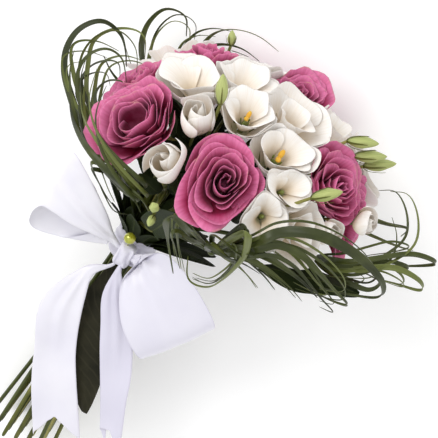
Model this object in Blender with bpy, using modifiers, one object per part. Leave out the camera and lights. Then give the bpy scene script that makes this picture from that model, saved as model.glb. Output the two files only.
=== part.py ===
"""A hand-tied bridal bouquet of roses, lisianthus and looped lily grass, lying on its side.

Design lengths are in millimetres in the bouquet's own frame: +Z runs out of the flowers along
the axis of the dome, +X to the right and +Y away from the side that shows. One empty, at the
end, lays the whole bouquet down. The meshes are in metres.
"""

import math

import bmesh
import bpy
import numpy as np
from mathutils import Matrix, Vector

# Driving dimensions of the bouquet, in millimetres and degrees
HEAD_RADIUS = 122.0
DOME_HEIGHT = 76.0
WAIST_X = -36.0
WAIST_Z = -110.0
STEM_LENGTH_BELOW = 205.0
STEM_FLARE = 2.3
STEM_TWIST = 24.0
STEM_RADIUS = 2.1
WAIST_PITCH = 4.9
VIEW_TILT = 60.0
LYING_TILT = 13.0
FLOOR_DROP = 104.0
REST_CUT = 2.2
END_CUT = 1.1

# Sizes of what the bouquet is made of
PETAL_THICKNESS = 0.9
BLADE_THICKNESS = 0.8
BLADE_STEP = 0.02
LEAF_THICKNESS = 0.9
RIBBON_THICKNESS = 0.9
PEARL_RADIUS = 4.8
PIN_RADIUS = 0.5
TIE_HEIGHT = 17.0
BAND_HEIGHT = 25.0
BAND_DROP = 4.0
STRAIGHT_LENGTH = 34.0
CLEAR = 0.35
CALYX_RADIUS = 5.0
TRUNK_LENGTH = 26.0
SEPAL_LENGTH = 16.0
SEPAL_THICKNESS = 1.0
BRANCH_RADIUS = 1.6
BLADE_SHIFT = 24.0
STRAND_RADIUS = 1.9
PIN_LENGTH = 9.0
ROUTE_POINTS = 8
ROUTE_SAMPLES = 57
ROUTE_ROUNDS = 90

MM = 0.001
UP = Vector((0.0, 0.0, 1.0))
TILT = math.radians(VIEW_TILT)
NEAR = Vector((0.0, -math.sin(TILT), math.cos(TILT)))
LAID = math.radians(LYING_TILT)
FLOOR_NORMAL = Vector((0.0, -math.cos(LAID), math.sin(LAID)))
WAIST = Vector((WAIST_X, 0.0, WAIST_Z))

# Each bloom: kind, middle of its face, radius, turn about its own axis
BLOOMS = {
    "rose_1": ("rose", (-85, -77, 27), 41, 20),
    "rose_2": ("rose", (1, -105, 38), 43, 50),
    "rose_3": ("rose", (80, -42, 50), 42, 10),
    "rose_4": ("rose", (13, 34, 62), 40, 75),
    "rose_5": ("rose", (-64, 20, 58), 42, 40),
    "rose_6": ("rose", (-101, -17, 24), 38, 5),
    "rose_7": ("rose", (105, -10, 15), 36, 30),
    "rose_8": ("rose", (-44, 90, 22), 39, 15),
    "rose_9": ("rose", (36, 90, 26), 39, 60),
    "lisianthus_1": ("open", (-64, -28, 63), 32, 0),
    "lisianthus_2": ("open", (-32, -4, 72), 32, 30),
    "lisianthus_3": ("open", (-12, -48, 72), 27, 50),
    "lisianthus_4": ("open", (28, -60, 65), 33, 10),
    "lisianthus_5": ("open", (20, -23, 73), 31, 40),
    "lisianthus_6": ("open", (46, -81, 49), 23, 25),
    "lisianthus_7": ("open", (43, -106, 29), 21, 60),
    "lisianthus_8": ("open", (71, -86, 26), 26, 15),
    "lisianthus_9": ("closed", (93, -64, 26), 15, 45),
    "lisianthus_10": ("closed", (-50, -107, 25), 21, 10),
    "lisianthus_11": ("closed", (-47, -70, 58), 20, 70),
    "lisianthus_12": ("open", (-93, 45, 31), 33, 35),
    "lisianthus_13": ("open", (-26, 58, 57), 34, 5),
    "lisianthus_14": ("open", (57, 30, 59), 30, 55),
    "lisianthus_15": ("open", (92, 44, 34), 28, 20),
    "lisianthus_16": ("closed", (113, -37, 36), 14, 65),
    "lisianthus_17": ("open", (84, 78, 8), 29, 30),
    "lisianthus_18": ("open", (-90, 78, 0), 29, 45),
}

# How far a bloom is turned from the dome towards the side that shows, as a share of that direction
TURNED = {"rose_4": 0.6, "lisianthus_5": 0.25}

# Lisianthus sprays: the blooms on each stem, and its buds as place, direction, radius and length
SPRAYS = {
    "spray_front_left": (("lisianthus_10", "lisianthus_11"), (
        ((-38, -66, 79), (-0.42, 0.05, 0.9), 5.0, 26),
        ((-34, -122, -6), (-0.2, -1.0, 0.2), 4.0, 9),
        ((-31, -119, -19), (0.1, -1.0, -0.3), 3.2, 13),
    )),
    "spray_top": (("lisianthus_1", "lisianthus_2", "lisianthus_3", "lisianthus_4", "lisianthus_5"), ()),
    "spray_front_right": (
        ("lisianthus_6", "lisianthus_7", "lisianthus_8", "lisianthus_9", "lisianthus_16"), (
            ((70, -86, 61), (0.7, 0.1, 0.7), 5.0, 26),
        )),
    "spray_right": (("lisianthus_14", "lisianthus_15", "lisianthus_17"), (
        ((74, -2, 71), (0.85, 0.15, 0.4), 5.0, 26),
        ((85, 4, 61), (0.85, 0.25, 0.45), 5.0, 27),
        ((95, 14, 54), (0.8, 0.3, 0.5), 5.0, 27),
    )),
    "spray_back": (("lisianthus_12", "lisianthus_13", "lisianthus_18"), (
        ((-57, 56, 61), (-0.45, 0.4, 0.8), 4.5, 20),
    )),
}

# Grass bunches: where the blades part from their strand, then each blade's width and its way.
# Places are as seen in the photograph's view: to the right, upward, and how far in front of the axis.
GRASS = {
    "grass_left": ((-74, -56, 48), (
        (6.5, ((-112, -44, 40), (-134, -30, 26), (-154, -10, 14), (-160, 12, 6), (-152, 30, 0),
               (-138, 36, -5), (-122, 28, -12), (-112, 14, -18))),
        (4.0, ((-118, -30, 22), (-138, -2, 4), (-145, 22, -8), (-132, 38, -18), (-113, 42, -26), (-104, 28, -30))),
        (3.5, ((-122, -26, 20), (-140, -8, 4), (-133, 6, -6), (-118, 14, -14), (-112, 4, -20))),
        (4.0, ((-116, -34, 30), (-144, -12, 18), (-157, 6, 8), (-146, 18, -4), (-124, 22, -16))),
        (3.5, ((-108, -52, 52), (-130, -34, 44), (-146, -12, 34), (-152, 4, 26))),
        (7.0, ((-48, -66, 92), (-60, -66, 104), (-86, -60, 104), (-108, -52, 90), (-126, -40, 66), (-138, -26, 50))),
        (3.5, ((-40, -62, 100), (-60, -57, 116), (-92, -46, 116), (-118, -24, 98), (-126, 0, 78))),
        (3.5, ((-84, -60, 82), (-93, -62, 92), (-76, -76, 88), (-58, -86, 74), (-50, -82, 62))),
        (8.0, ((-64, -66, 90), (-58, -65, 103), (-46, -66, 108), (-36, -71, 104))),
    )),
    "grass_front": ((20, -72, 66), (
        (6.0, ((-10, -66, 96), (-24, -62, 110), (-17, -76, 108), (-6, -90, 98), (4, -102, 88))),
        (6.0, ((30, -50, 104), (36, -46, 122), (42, -64, 120), (36, -90, 104), (24, -101, 94), (10, -96, 86),
               (6, -84, 76))),
        (4.5, ((14, -60, 104), (28, -61, 114), (46, -63, 110), (62, -66, 102), (76, -71, 93))),
        (9.0, ((44, -48, 104), (58, -30, 122), (84, -18, 118), (116, -17, 102), (142, -24, 84), (147, -32, 74),
               (130, -42, 68), (104, -52, 62))),
        (6.0, ((50, -50, 104), (64, -38, 116), (86, -40, 114), (114, -48, 100), (129, -52, 88), (118, -55, 80),
               (96, -57, 72))),
        (7.0, ((34, -60, 105), (50, -54, 120), (73, -53, 114), (92, -55, 104), (106, -59, 93))),
    )),
    "grass_right": ((88, -34, 16), (
        (5.0, ((118, -20, 51), (144, 4, 42), (168, 13, 32), (168, 7, 22), (142, -8, 16), (120, -26, 12))),
        (5.0, ((116, -29, 47), (136, -12, 50), (158, -6, 46), (176, -10, 36), (160, -16, 28), (134, -24, 22))),
        (3.0, ((124, -25, 52), (146, 4, 42), (147, 22, 30), (136, 38, 16), (122, 46, 4), (112, 40, -4))),
        (4.5, ((104, -38, 34), (126, -36, 48), (144, -30, 46), (138, -22, 34), (116, -28, 26))),
    )),
    "grass_top": ((-60, 8, -66), (
        (5.5, ((-100, 20, -66), (-116, 40, -62), (-118, 60, -60), (-109, 74, -60), (-96, 74, -62), (-88, 62, -66))),
        (3.5, ((-74, 48, -100), (-72, 74, -94), (-60, 86, -86), (-40, 92, -82), (-18, 90, -82))),
        (3.5, ((-84, 40, -94), (-84, 66, -84), (-74, 78, -80), (-58, 84, -76))),
    )),
    "grass_back": ((12, 2, -58), (
        (6.0, ((-26, 10, -78), (-80, 0, -80), (-118, 4, -70), (-136, 14, -54))),
        (6.0, ((50, 14, -84), (90, 12, -82), (128, 20, -64), (146, 26, -42), (140, 16, -26))),
        (4.5, ((60, 4, -70), (104, 4, -66), (138, 8, -44), (154, 12, -20))),
    )),
}

# Collar leaves: blade width, then the way of the midrib, and which way the blade's sides lie
LEAVES = {
    "leaf_right": (30, ((58, -62, 34), (86, -53, 40), (112, -45, 42), (134, -40, 40)), (0.0, 1.0, 0.25)),
    "leaf_front": (34, ((-28, -84, 40), (-24, -76, 62), (-20, -66, 86), (-17, -60, 100)), (1.0, 0.0, 0.0)),
    "leaf_back": (34, ((-28, -22, -34), (-24, -6, -58), (-18, 6, -80), (-14, 12, -92)), (1.0, 0.0, 0.0)),
}
WRAP_WIDTH = 38
WRAP_WAY = ((-38, -130, 28), (-36, -146, 31), (-33, -161, 34), (-28, -178, 36), (-16, -208, 38), (2, -240, 38))

# Ribbon pieces as two edges, in the photograph's view: to the right, upward, in front of the axis
RIBBON = {
    "ribbon_loop_left": (
        ((-51, -102, 31), (-62, -92, 42), (-78, -81, 50), (-106, -64, 50), (-111, -66, 36), (-104, -74, 24),
         (-78, -94, 22), (-53, -106, 25)),
        ((-51, -110, 31), (-64, -112, 42), (-84, -115, 50), (-114, -114, 50), (-118, -124, 36), (-109, -133, 24),
         (-80, -124, 22), (-53, -112, 25))),
    "ribbon_loop_right": (
        ((-22, -101, 33), (-8, -93, 46), (20, -101, 56), (50, -118, 54), (54, -124, 40), (42, -126, 26),
         (4, -112, 23), (-21, -105, 27)),
        ((-23, -117, 37), (-26, -132, 48), (-10, -158, 56), (12, -173, 52), (19, -172, 40), (17, -158, 27),
         (-4, -132, 23), (-22, -113, 27))),
    "ribbon_tail_left": (
        ((-44, -124, 33), (-60, -136, 40), (-75, -176, 46), (-61, -213, 46), (-48, -242, 44), (-24, -282, 40)),
        ((-41, -125, 35), (-50, -139, 44), (-46, -158, 48), (-32, -195, 46), (-15, -222, 44), (12, -262, 40))),
    "ribbon_tail_right": (
        ((-38, -126, 34), (-36, -148, 38), (-23, -172, 39), (-4, -206, 39), (8, -226, 38), (22, -252, 36)),
        ((-32, -125, 36), (-14, -144, 40), (-2, -158, 41), (18, -192, 40), (28, -216, 39), (48, -262, 36))),
}
TAIL_NOTCH = 0.12
KNOT_PLACE = (-37, -111, 28.5)
KNOT_SIZE = (11.5, 11.0, 8.5)
KNOT_ROUND = 6.0
PIN_PLACE = (-40, -98, 34)

# Colours as linear red, green and blue
PINK = (0.50, 0.07, 0.26)
WHITE = (0.86, 0.83, 0.78)
STEM_GREEN = (0.20, 0.28, 0.07)
GRASS_GREEN = (0.08, 0.14, 0.03)
LEAF_GREEN = (0.05, 0.07, 0.03)
SATIN = (0.82, 0.80, 0.90)
TAPE_GREEN = (0.10, 0.16, 0.06)
PEARL_GOLD = (0.45, 0.48, 0.05)


# Ways to tidy a fused mesh, tried in turn: merge distance, flatness in degrees, and how faces are split
TIDY_WAYS = (
    (1e-6, 1.0, "BEAUTY"), (1e-6, 1.0, "EAR_CLIP"), (1e-7, 0.1, "BEAUTY"), (1e-7, 0.1, "EAR_CLIP"),
)


def clear_scene():
    """Removes whatever the file opened with."""
    for item in list(bpy.data.objects):
        bpy.data.objects.remove(item, do_unlink=True)


def new_collection(name):
    """Makes a collection and links it to the scene."""
    made = bpy.data.collections.new(name)
    bpy.context.scene.collection.children.link(made)
    return made


def make_material(name, colour, roughness, metallic=0.0):
    """Makes a Principled material."""
    made = bpy.data.materials.new(name)
    made.use_nodes = True
    shader = made.node_tree.nodes["Principled BSDF"]
    shader.inputs["Base Color"].default_value = (*colour, 1.0)
    shader.inputs["Roughness"].default_value = roughness
    shader.inputs["Metallic"].default_value = metallic
    return made


def add_object(name, mesh, collection):
    """Links a new object that shows a mesh."""
    made = bpy.data.objects.new(name, mesh)
    collection.objects.link(made)
    return made


def mesh_from(bm, name):
    """Ends a bmesh as a smooth-shaded mesh."""
    bmesh.ops.recalc_face_normals(bm, faces=bm.faces)
    mesh = bpy.data.meshes.new(name)
    bm.to_mesh(mesh)
    bm.free()
    mesh.shade_smooth()
    return mesh


def sheet_mesh(place, across, along, name):
    """A triangulated grid whose corners go where place(u, v) says, u from -1 to 1 and v from 0 to 1."""
    bm = bmesh.new()
    bmesh.ops.create_grid(bm, x_segments=across, y_segments=along, size=1.0)
    for vertex in bm.verts:
        vertex.co = place(vertex.co.x, 0.5 * (vertex.co.y + 1.0)) * MM
    bmesh.ops.triangulate(bm, faces=bm.faces, quad_method="FIXED")
    mesh = bpy.data.meshes.new(name)
    bm.to_mesh(mesh)
    bm.free()
    return mesh


def add_sheet(name, mesh, thickness, collection):
    """A sheet with a Solidify modifier for its wall."""
    made = add_object(name, mesh, collection)
    wall = made.modifiers.new("wall", "SOLIDIFY")
    wall.thickness = thickness * MM
    wall.offset = 0.0
    return made


def evaluated_mesh(item):
    """The mesh of an object with its modifiers applied."""
    bpy.context.view_layer.update()
    graph = bpy.context.evaluated_depsgraph_get()
    return bpy.data.meshes.new_from_object(item.evaluated_get(graph), depsgraph=graph)


def apply_modifiers(item):
    """Replaces an object's mesh by its modified mesh, with its flat scraps merged where that stays closed."""
    mesh = evaluated_mesh(item)
    item.modifiers.clear()
    for merge, flatten, method in TIDY_WAYS:
        bm = bmesh.new()
        bm.from_mesh(mesh)
        bmesh.ops.remove_doubles(bm, verts=bm.verts, dist=merge)
        bmesh.ops.dissolve_limit(bm, angle_limit=math.radians(flatten), verts=bm.verts, edges=bm.edges)
        bmesh.ops.triangulate(bm, faces=bm.faces, ngon_method=method)
        closed = all(edge.is_manifold for edge in bm.edges)
        if closed:
            bm.to_mesh(mesh)
        bm.free()
        if closed:
            break
    mesh.shade_smooth()
    item.data = mesh


def drop_scraps(item):
    """Keeps only the largest connected piece of a fused mesh."""
    bm = bmesh.new()
    bm.from_mesh(item.data)
    left = set(bm.verts)
    groups = []
    while left:
        start = left.pop()
        group = {start}
        edge_of_group = [start]
        while edge_of_group:
            for edge in edge_of_group.pop().link_edges:
                for vertex in edge.verts:
                    if vertex in left:
                        left.discard(vertex)
                        group.add(vertex)
                        edge_of_group.append(vertex)
        groups.append(group)
    groups.sort(key=len)
    for group in groups[:-1]:
        bmesh.ops.delete(bm, geom=list(group), context="VERTS")
    bm.to_mesh(item.data)
    bm.free()


def fuse(core, repeats, solver="EXACT"):
    """Joins everything in a collection to a core in one Boolean union, and removes what it joined."""
    union = core.modifiers.new("join", "BOOLEAN")
    union.operation = "UNION"
    union.operand_type = "COLLECTION"
    union.collection = repeats
    union.solver = solver
    apply_modifiers(core)
    drop_scraps(core)
    for item in list(repeats.objects):
        bpy.data.objects.remove(item, do_unlink=True)
    bpy.data.collections.remove(repeats)


def smooth_path(points, count):
    """Evenly spaced points on one smooth curve through the given ones."""
    given = [np.array(point, dtype=float) for point in points]
    padded = [2 * given[0] - given[1]] + given + [2 * given[-1] - given[-2]]
    dense = []
    for a, b, c, d in zip(padded, padded[1:], padded[2:], padded[3:]):
        for t in np.linspace(0.0, 1.0, 24, endpoint=False):
            dense.append(0.5 * (2 * b + (c - a) * t + (2 * a - 5 * b + 4 * c - d) * t * t
                                + (3 * b - a - 3 * c + d) * t ** 3))
    dense.append(given[-1])
    dense = np.array(dense)
    steps = np.concatenate(([0.0], np.cumsum(np.linalg.norm(np.diff(dense, axis=0), axis=1))))
    wanted = np.linspace(0.0, steps[-1], count)
    return np.stack([np.interp(wanted, steps, dense[:, k]) for k in range(3)], axis=1)


def tube_object(name, points, radii, collection, resolution=1):
    """A tube along a poly spline, as a closed mesh."""
    curve = bpy.data.curves.new(name, "CURVE")
    curve.dimensions = "3D"
    curve.bevel_depth = MM
    curve.bevel_resolution = resolution
    curve.use_fill_caps = True
    spline = curve.splines.new("POLY")
    spline.points.add(len(points) - 1)
    for point, place, radius in zip(spline.points, points, radii):
        point.co = (*(Vector(place) * MM), 1.0)
        point.radius = radius
    holder = add_object(name + "_curve", curve, collection)
    mesh = evaluated_mesh(holder)
    bpy.data.objects.remove(holder, do_unlink=True)
    bm = bmesh.new()
    bm.from_mesh(mesh)
    bmesh.ops.remove_doubles(bm, verts=bm.verts, dist=1e-6)
    bmesh.ops.triangulate(bm, faces=bm.faces)
    bmesh.ops.recalc_face_normals(bm, faces=bm.faces)
    bm.to_mesh(mesh)
    bm.free()
    mesh.shade_smooth()
    return add_object(name, mesh, collection)


def height(point):
    """How high a point of the bouquet's frame is above the floor once it is laid down."""
    return FLOOR_DROP + FLOOR_NORMAL.dot(Vector(point))


def seen(right, up, front):
    """A point by where the photograph's view shows it, and how far it stands in front of the axis."""
    return Vector((right, -front, (up + math.cos(TILT) * front) / math.sin(TILT)))


class Bloom:
    """One bloom's place, axes and the room that its neighbours leave it."""

    def __init__(self, name, kind, place, radius, turn):
        self.name = name
        self.kind = kind
        self.place = Vector(place)
        self.radius = radius
        self.turn = math.radians(turn)
        self.limits = []
        self.face()

    def face(self):
        """Turns the bloom's axis square to the dome."""
        x, y, z = self.place
        out = Vector((x / HEAD_RADIUS ** 2, y / HEAD_RADIUS ** 2, max(z, 14.0) / DOME_HEIGHT ** 2))
        self.axis = (out.normalized() + NEAR * TURNED.get(self.name, 0.0)).normalized()
        side = Vector((1.0, 0.0, 0.0)) - self.axis.x * self.axis
        self.side = side.normalized()
        self.over = self.axis.cross(self.side)

    @property
    def depth(self):
        """From the bloom's face down to its base."""
        return {"rose": 0.82, "open": 1.15, "closed": 1.45}[self.kind] * self.radius

    @property
    def base(self):
        """The middle of the bloom's underside, where its stem meets it."""
        return self.place - self.axis * self.depth

    def middle(self):
        """The point from which the shares between neighbours are measured."""
        return self.place - self.axis * (0.35 * self.radius)

    def settle(self):
        """Moves the bloom down so that its outer petals would dip just under the floor."""
        rim = self.place - self.axis * (0.28 * self.radius)
        reach = self.radius * math.sqrt(1.0 - self.axis.dot(FLOOR_NORMAL) ** 2)
        self.place = self.place - FLOOR_NORMAL * (height(rim) - reach + REST_CUT)

    def share_with(self, others):
        """Finds the planes midway, by size, between this bloom and each neighbour."""
        for other in others:
            if other is self:
                continue
            between = other.middle() - self.middle()
            distance = between.length
            if distance < self.radius + other.radius + 4.0:
                share = distance * self.radius / (self.radius + other.radius)
                gap = 0.5 * (CLEAR + PETAL_THICKNESS) + 0.1
                self.limits.append((between / distance, share - gap))

    def put(self, rho, phi, z):
        """A point given about the bloom's own axis, drawn in where a neighbour needs the room."""
        angle = phi + self.turn
        out = self.side * math.cos(angle) + self.over * math.sin(angle)
        centre = self.place + self.axis * z
        crowd = 1.0
        for direction, limit in self.limits:
            reach = direction.dot(out) * max(rho, 1.05 * self.radius)
            if reach > 0.0:
                room = max(limit - direction.dot(centre - self.middle()), 0.08 * self.radius)
                crowd += (reach / room) ** 6
        return centre + out * (rho * crowd ** (-1.0 / 6.0))

    def covers(self, point, margin=0.0):
        """How deep a point is inside the bloom's rough outline: above 0 is inside."""
        offset = Vector(point) - self.place
        z = offset.dot(self.axis)
        rho = (offset - self.axis * z).length
        half = 0.5 * self.depth + 0.10 * self.radius + margin
        mid = -0.5 * self.depth + 0.04 * self.radius
        return 1.0 - (rho / (1.04 * self.radius + margin)) ** 4 - ((z - mid) / half) ** 4


def bud_stalks():
    """Slight stand-ins for the stalks of the buds, so that the blooms beside them leave room."""
    stalks = []
    for _, buds in SPRAYS.values():
        for place, direction, _, length in buds:
            aim = Vector(direction).normalized()
            base = Vector(place) - aim * (0.5 * length + 4.0)
            stalk = Bloom("stalk", "closed", base, BRANCH_RADIUS + 1.0, 0)
            stalk.place -= stalk.axis * 14.0
            stalks.append(stalk)
    return stalks


# Petal layers as count, root, belly and rim (out, height), half-angle, spiral and columns.
# Outs and heights are in bloom radii, and a petal's root is on the core's side.
LAYERS = {
    "rose": (
        (5, (0.22, -0.64), (0.96, -0.74), (1.00, -0.20), 42, 0.09, 2),
        (5, (0.23, -0.50), (0.74, -0.58), (0.72, -0.06), 42, 0.08, 2),
        (3, (0.19, -0.36), (0.44, -0.44), (0.42, 0.03), 68, 0.09, 4),
    ),
    "open": (
        (5, (0.14, -0.98), (0.74, -1.02), (1.00, -0.02), 43, 0.07, 3),
    ),
    "closed": (
        (3, (0.40, -1.00), (1.16, -0.95), (0.66, 0.03), 70, 0.09, 4),
    ),
}

# How far down and up the tips of each kind's core stand, in bloom radii
CORES = {"rose": (-0.82, -0.04), "open": (-1.15, -0.45), "closed": (-1.45, -0.25)}
ROOT_SHARE = 0.62


def bend(root, belly, rim, t):
    """A point on the curve from a petal's root to its rim."""
    keep, turn = (1.0 - t) ** 2, 2.0 * t * (1.0 - t)
    return (keep * root[0] + turn * belly[0] + t * t * rim[0],
            keep * root[1] + turn * belly[1] + t * t * rim[1])


def petal_point(bloom, layer, first_angle, u, v):
    """A point of a petal's middle surface, u from -1 to 1 across it and v from 0 at its root to 1."""
    _, root, belly, rim, half_angle, spiral, _ = layer
    out, high = bend(root, belly, rim, v)
    grown = min(1.0, 2.0 * v)
    half = math.radians(half_angle) * (ROOT_SHARE + (1.0 - ROOT_SHARE) * grown)
    ruffle = 0.05 * v * v * math.cos(2.6 * math.pi * u + first_angle)
    drop = 0.16 * abs(u) ** 3 * v * v
    rho = bloom.radius * (out * (1.0 + 0.5 * ruffle) + spiral * u * grown)
    return bloom.put(rho, first_angle + u * half, bloom.radius * (high + ruffle - drop))


def petal_wall(bloom, layer, first_angle, u, v, side):
    """A point on one wall of a petal: side is -1 for its outside and 1 for its inside."""
    step = 0.04
    middle = petal_point(bloom, layer, first_angle, u, v)
    across = (petal_point(bloom, layer, first_angle, u + step, v)
              - petal_point(bloom, layer, first_angle, u - step, v))
    along = middle - petal_point(bloom, layer, first_angle, u, v - step)
    return middle + across.cross(along).normalized() * (-0.5 * side * PETAL_THICKNESS)


def add_ring(bm, places):
    """A closed ring of edges through the given places."""
    made = bmesh.ops.create_circle(bm, segments=len(places), radius=1.0)["verts"]
    for vertex, place in zip(made, places):
        vertex.co = place * MM
    return made


def ring_edges(ring):
    """The edges between the neighbours of a ring."""
    inside = set(ring)
    found = [edge for vertex in ring for edge in vertex.link_edges if edge.other_vert(vertex) in inside]
    return list(dict.fromkeys(found))


def bridge(bm, low, high):
    """Joins two rings by a band of faces."""
    return bmesh.ops.bridge_loops(bm, edges=ring_edges(low) + ring_edges(high))["faces"]


def grow_petals(bm, bloom, layer, turn, tags):
    """Two rings of the core, and the petals drawn out of the band between them."""
    count, root, _, _, _, _, columns = layer
    firsts = [2.0 * math.pi * (k + turn) / count for k in range(count)]
    half_wall = Vector(bloom.axis) * (0.5 * PETAL_THICKNESS)
    middles = [petal_point(bloom, layer, first, 2.0 * i / columns - 1.0, 0.0)
               for first in firsts for i in range(columns + 1)]
    low = add_ring(bm, [place - half_wall for place in middles])
    high = add_ring(bm, [place + half_wall for place in middles])
    for ring, side in ((low, -1), (high, 1)):
        for index, vertex in enumerate(ring):
            vertex[tags["petal"]] = index // (columns + 1)
            vertex[tags["column"]] = index % (columns + 1)
            vertex[tags["side"]] = side
    band = bridge(bm, low, high)
    regions = [[face for face in band if all(vertex[tags["petal"]] == k for vertex in face.verts)]
               for k in range(count)]
    for first, region in zip(firsts, regions):
        for v in (0.5, 1.0):
            grown = bmesh.ops.extrude_face_region(bm, geom=region)["geom"]
            bmesh.ops.delete(bm, geom=region, context="FACES")
            region = [item for item in grown if isinstance(item, bmesh.types.BMFace)]
            for vertex in {corner for face in region for corner in face.verts}:
                u = 2.0 * vertex[tags["column"]] / columns - 1.0
                vertex.co = petal_wall(bloom, layer, first, u, v, vertex[tags["side"]]) * MM
    return low, high


def close_ring(bm, ring, tip):
    """Closes a ring with a cone that ends at a tip."""
    cap = bmesh.ops.contextual_create(bm, geom=ring_edges(ring))["faces"]
    centre = bmesh.ops.poke(bm, faces=cap)["verts"][0]
    centre.co = tip * MM


def make_bloom(bloom, collection, material):
    """A bloom: its petals in layers, drawn out of a small core."""
    bm = bmesh.new()
    tags = {name: bm.verts.layers.int.new(name) for name in ("petal", "column", "side")}
    rings = [grow_petals(bm, bloom, layer, 0.37 * depth, tags)
             for depth, layer in enumerate(LAYERS[bloom.kind])]
    for (_, below), (above, _) in zip(rings, rings[1:]):
        bridge(bm, below, above)
    bottom, top = CORES[bloom.kind]
    close_ring(bm, rings[0][0], bloom.put(0.0, 0.0, bloom.radius * bottom))
    close_ring(bm, rings[-1][1], bloom.put(0.0, 0.0, bloom.radius * top))
    bmesh.ops.triangulate(bm, faces=bm.faces, quad_method="SHORT_EDGE")
    made = add_object(bloom.name, mesh_from(bm, bloom.name), collection)
    made.data.materials.append(material)
    return made


def waist_places(wanted):
    """Packs the stems side by side where they are bound, keeping the order of the flowers above."""
    names = list(wanted)
    places = np.array([wanted[name] for name in names], dtype=float)
    for _ in range(300):
        places *= 0.985
        for _ in range(4):
            for i in range(len(names)):
                for j in range(i):
                    apart = places[i] - places[j]
                    distance = max(np.linalg.norm(apart), 1e-3)
                    if distance < WAIST_PITCH:
                        push = apart / distance * (WAIST_PITCH - distance) * 0.5
                        places[i] += push
                        places[j] -= push
    places -= places.mean(axis=0)
    return {name: Vector((x, y, 0.0)) for name, (x, y) in zip(names, places)}


def first_route(start, end, direction, carries_bloom):
    """A smooth way from the top of the binding to what a stem carries."""
    reach = (end - start).length
    handle = 0.34 * reach if carries_bloom else 24.0
    b = start + UP * (0.25 * reach)
    c = end - direction * handle
    points = []
    for t in np.linspace(0.0, 1.0, ROUTE_POINTS):
        s = 1.0 - t
        points.append(start * s ** 3 + b * (3 * s * s * t) + c * (3 * s * t * t) + end * t ** 3)
    return np.array([tuple(point) for point in points])


def sample_weights():
    """How much each point of a route counts at each of its evenly spread samples."""
    weights = np.zeros((ROUTE_SAMPLES, ROUTE_POINTS))
    for row, t in enumerate(np.linspace(0.0, ROUTE_POINTS - 1.0, ROUTE_SAMPLES)):
        k = min(int(t), ROUTE_POINTS - 2)
        weights[row, k] = 1.0 - (t - k)
        weights[row, k + 1] = t - k
    return weights


def part_routes(routes, groups, owners, blooms):
    """Pushes crossing stems apart and out of the blooms, a little at a time."""
    names = list(routes)
    weights = sample_weights()
    back = weights.T / weights.sum(axis=0)[:, None]
    share = np.linspace(0.0, 1.0, ROUTE_SAMPLES)
    need = WAIST_PITCH + 1.2 * np.minimum(1.0, 6.0 * share)
    for _ in range(ROUTE_ROUNDS):
        lines = {name: weights @ routes[name] for name in names}
        pushes = {name: np.zeros((ROUTE_SAMPLES, 3)) for name in names}
        for i, one in enumerate(names):
            for two in names[:i]:
                a, b = lines[one], lines[two]
                if (a.min(axis=0) - b.max(axis=0)).max() > 7.0 or (b.min(axis=0) - a.max(axis=0)).max() > 7.0:
                    continue
                apart = a[:, None, :] - b[None, :, :]
                distance = np.linalg.norm(apart, axis=2)
                wanted = np.minimum(need[:, None], need[None, :])
                if groups[one] == groups[two]:
                    wanted = wanted * (share[:, None] > 0.6) * (share[None, :] > 0.6)
                short = np.clip(wanted - distance, 0.0, None)
                if short.any():
                    push = apart / np.maximum(distance, 1e-3)[:, :, None] * short[:, :, None]
                    pushes[one] += push.sum(axis=1) * 0.4
                    pushes[two] -= push.sum(axis=0) * 0.4
        for name in names:
            for bloom in blooms.values():
                for k in range(4, ROUTE_SAMPLES - 6):
                    if bloom.name != owners[name] and bloom.covers(lines[name][k], 3.5) > 0.0:
                        away = Vector(lines[name][k]) - (bloom.place - bloom.axis * (0.3 * bloom.depth))
                        pushes[name][k] += np.array(away.normalized()) * 2.5
            step = back @ pushes[name]
            step[0] = 0.0
            step[-2:] *= 0.3
            step[-1] = 0.0
            routes[name] += np.clip(step, -2.0, 2.0)
            line = routes[name]
            line[1:-1] += 0.06 * (0.5 * (line[:-2] + line[2:]) - line[1:-1])
    return routes


def below_waist(place, drop):
    """A stem's way from its cut end up through the binding, drop being the lean towards the floor."""
    points = []
    start = WAIST - UP * (0.5 * STRAIGHT_LENGTH)
    for t in (1.0, 0.5, 0.0):
        flare = 1.0 + (STEM_FLARE - 1.0) * t
        turn = Matrix.Rotation(math.radians(STEM_TWIST) * t, 3, "Z")
        shift = FLOOR_NORMAL * (-drop * t)
        points.append(start + turn @ (place * flare) - UP * (STEM_LENGTH_BELOW * t) + shift)
    points.append(WAIST + UP * (0.5 * STRAIGHT_LENGTH) + place)
    return points


def floor_lean(places):
    """How far the cut ends move down so that the lowest of them rests on the floor."""
    ends = [below_waist(place, 0.0)[0] for place in places.values()]
    return min(height(end) for end in ends) - STEM_RADIUS + END_CUT


def bud_mesh_object(name, place, direction, radius, length, collection):
    """A spindle-shaped bud."""
    bm = bmesh.new()
    bmesh.ops.create_uvsphere(bm, u_segments=6, v_segments=5, radius=1.0)
    aim = Vector(direction).normalized().to_track_quat("Z", "Y").to_matrix()
    for vertex in bm.verts:
        x, y, z = vertex.co
        narrow = radius * (1.0 - 0.45 * max(z, 0.0))
        vertex.co = (Vector(place) + aim @ Vector((x * narrow, y * narrow, 0.5 * length * z))) * MM
    return add_object(name, mesh_from(bm, name), collection)


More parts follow.
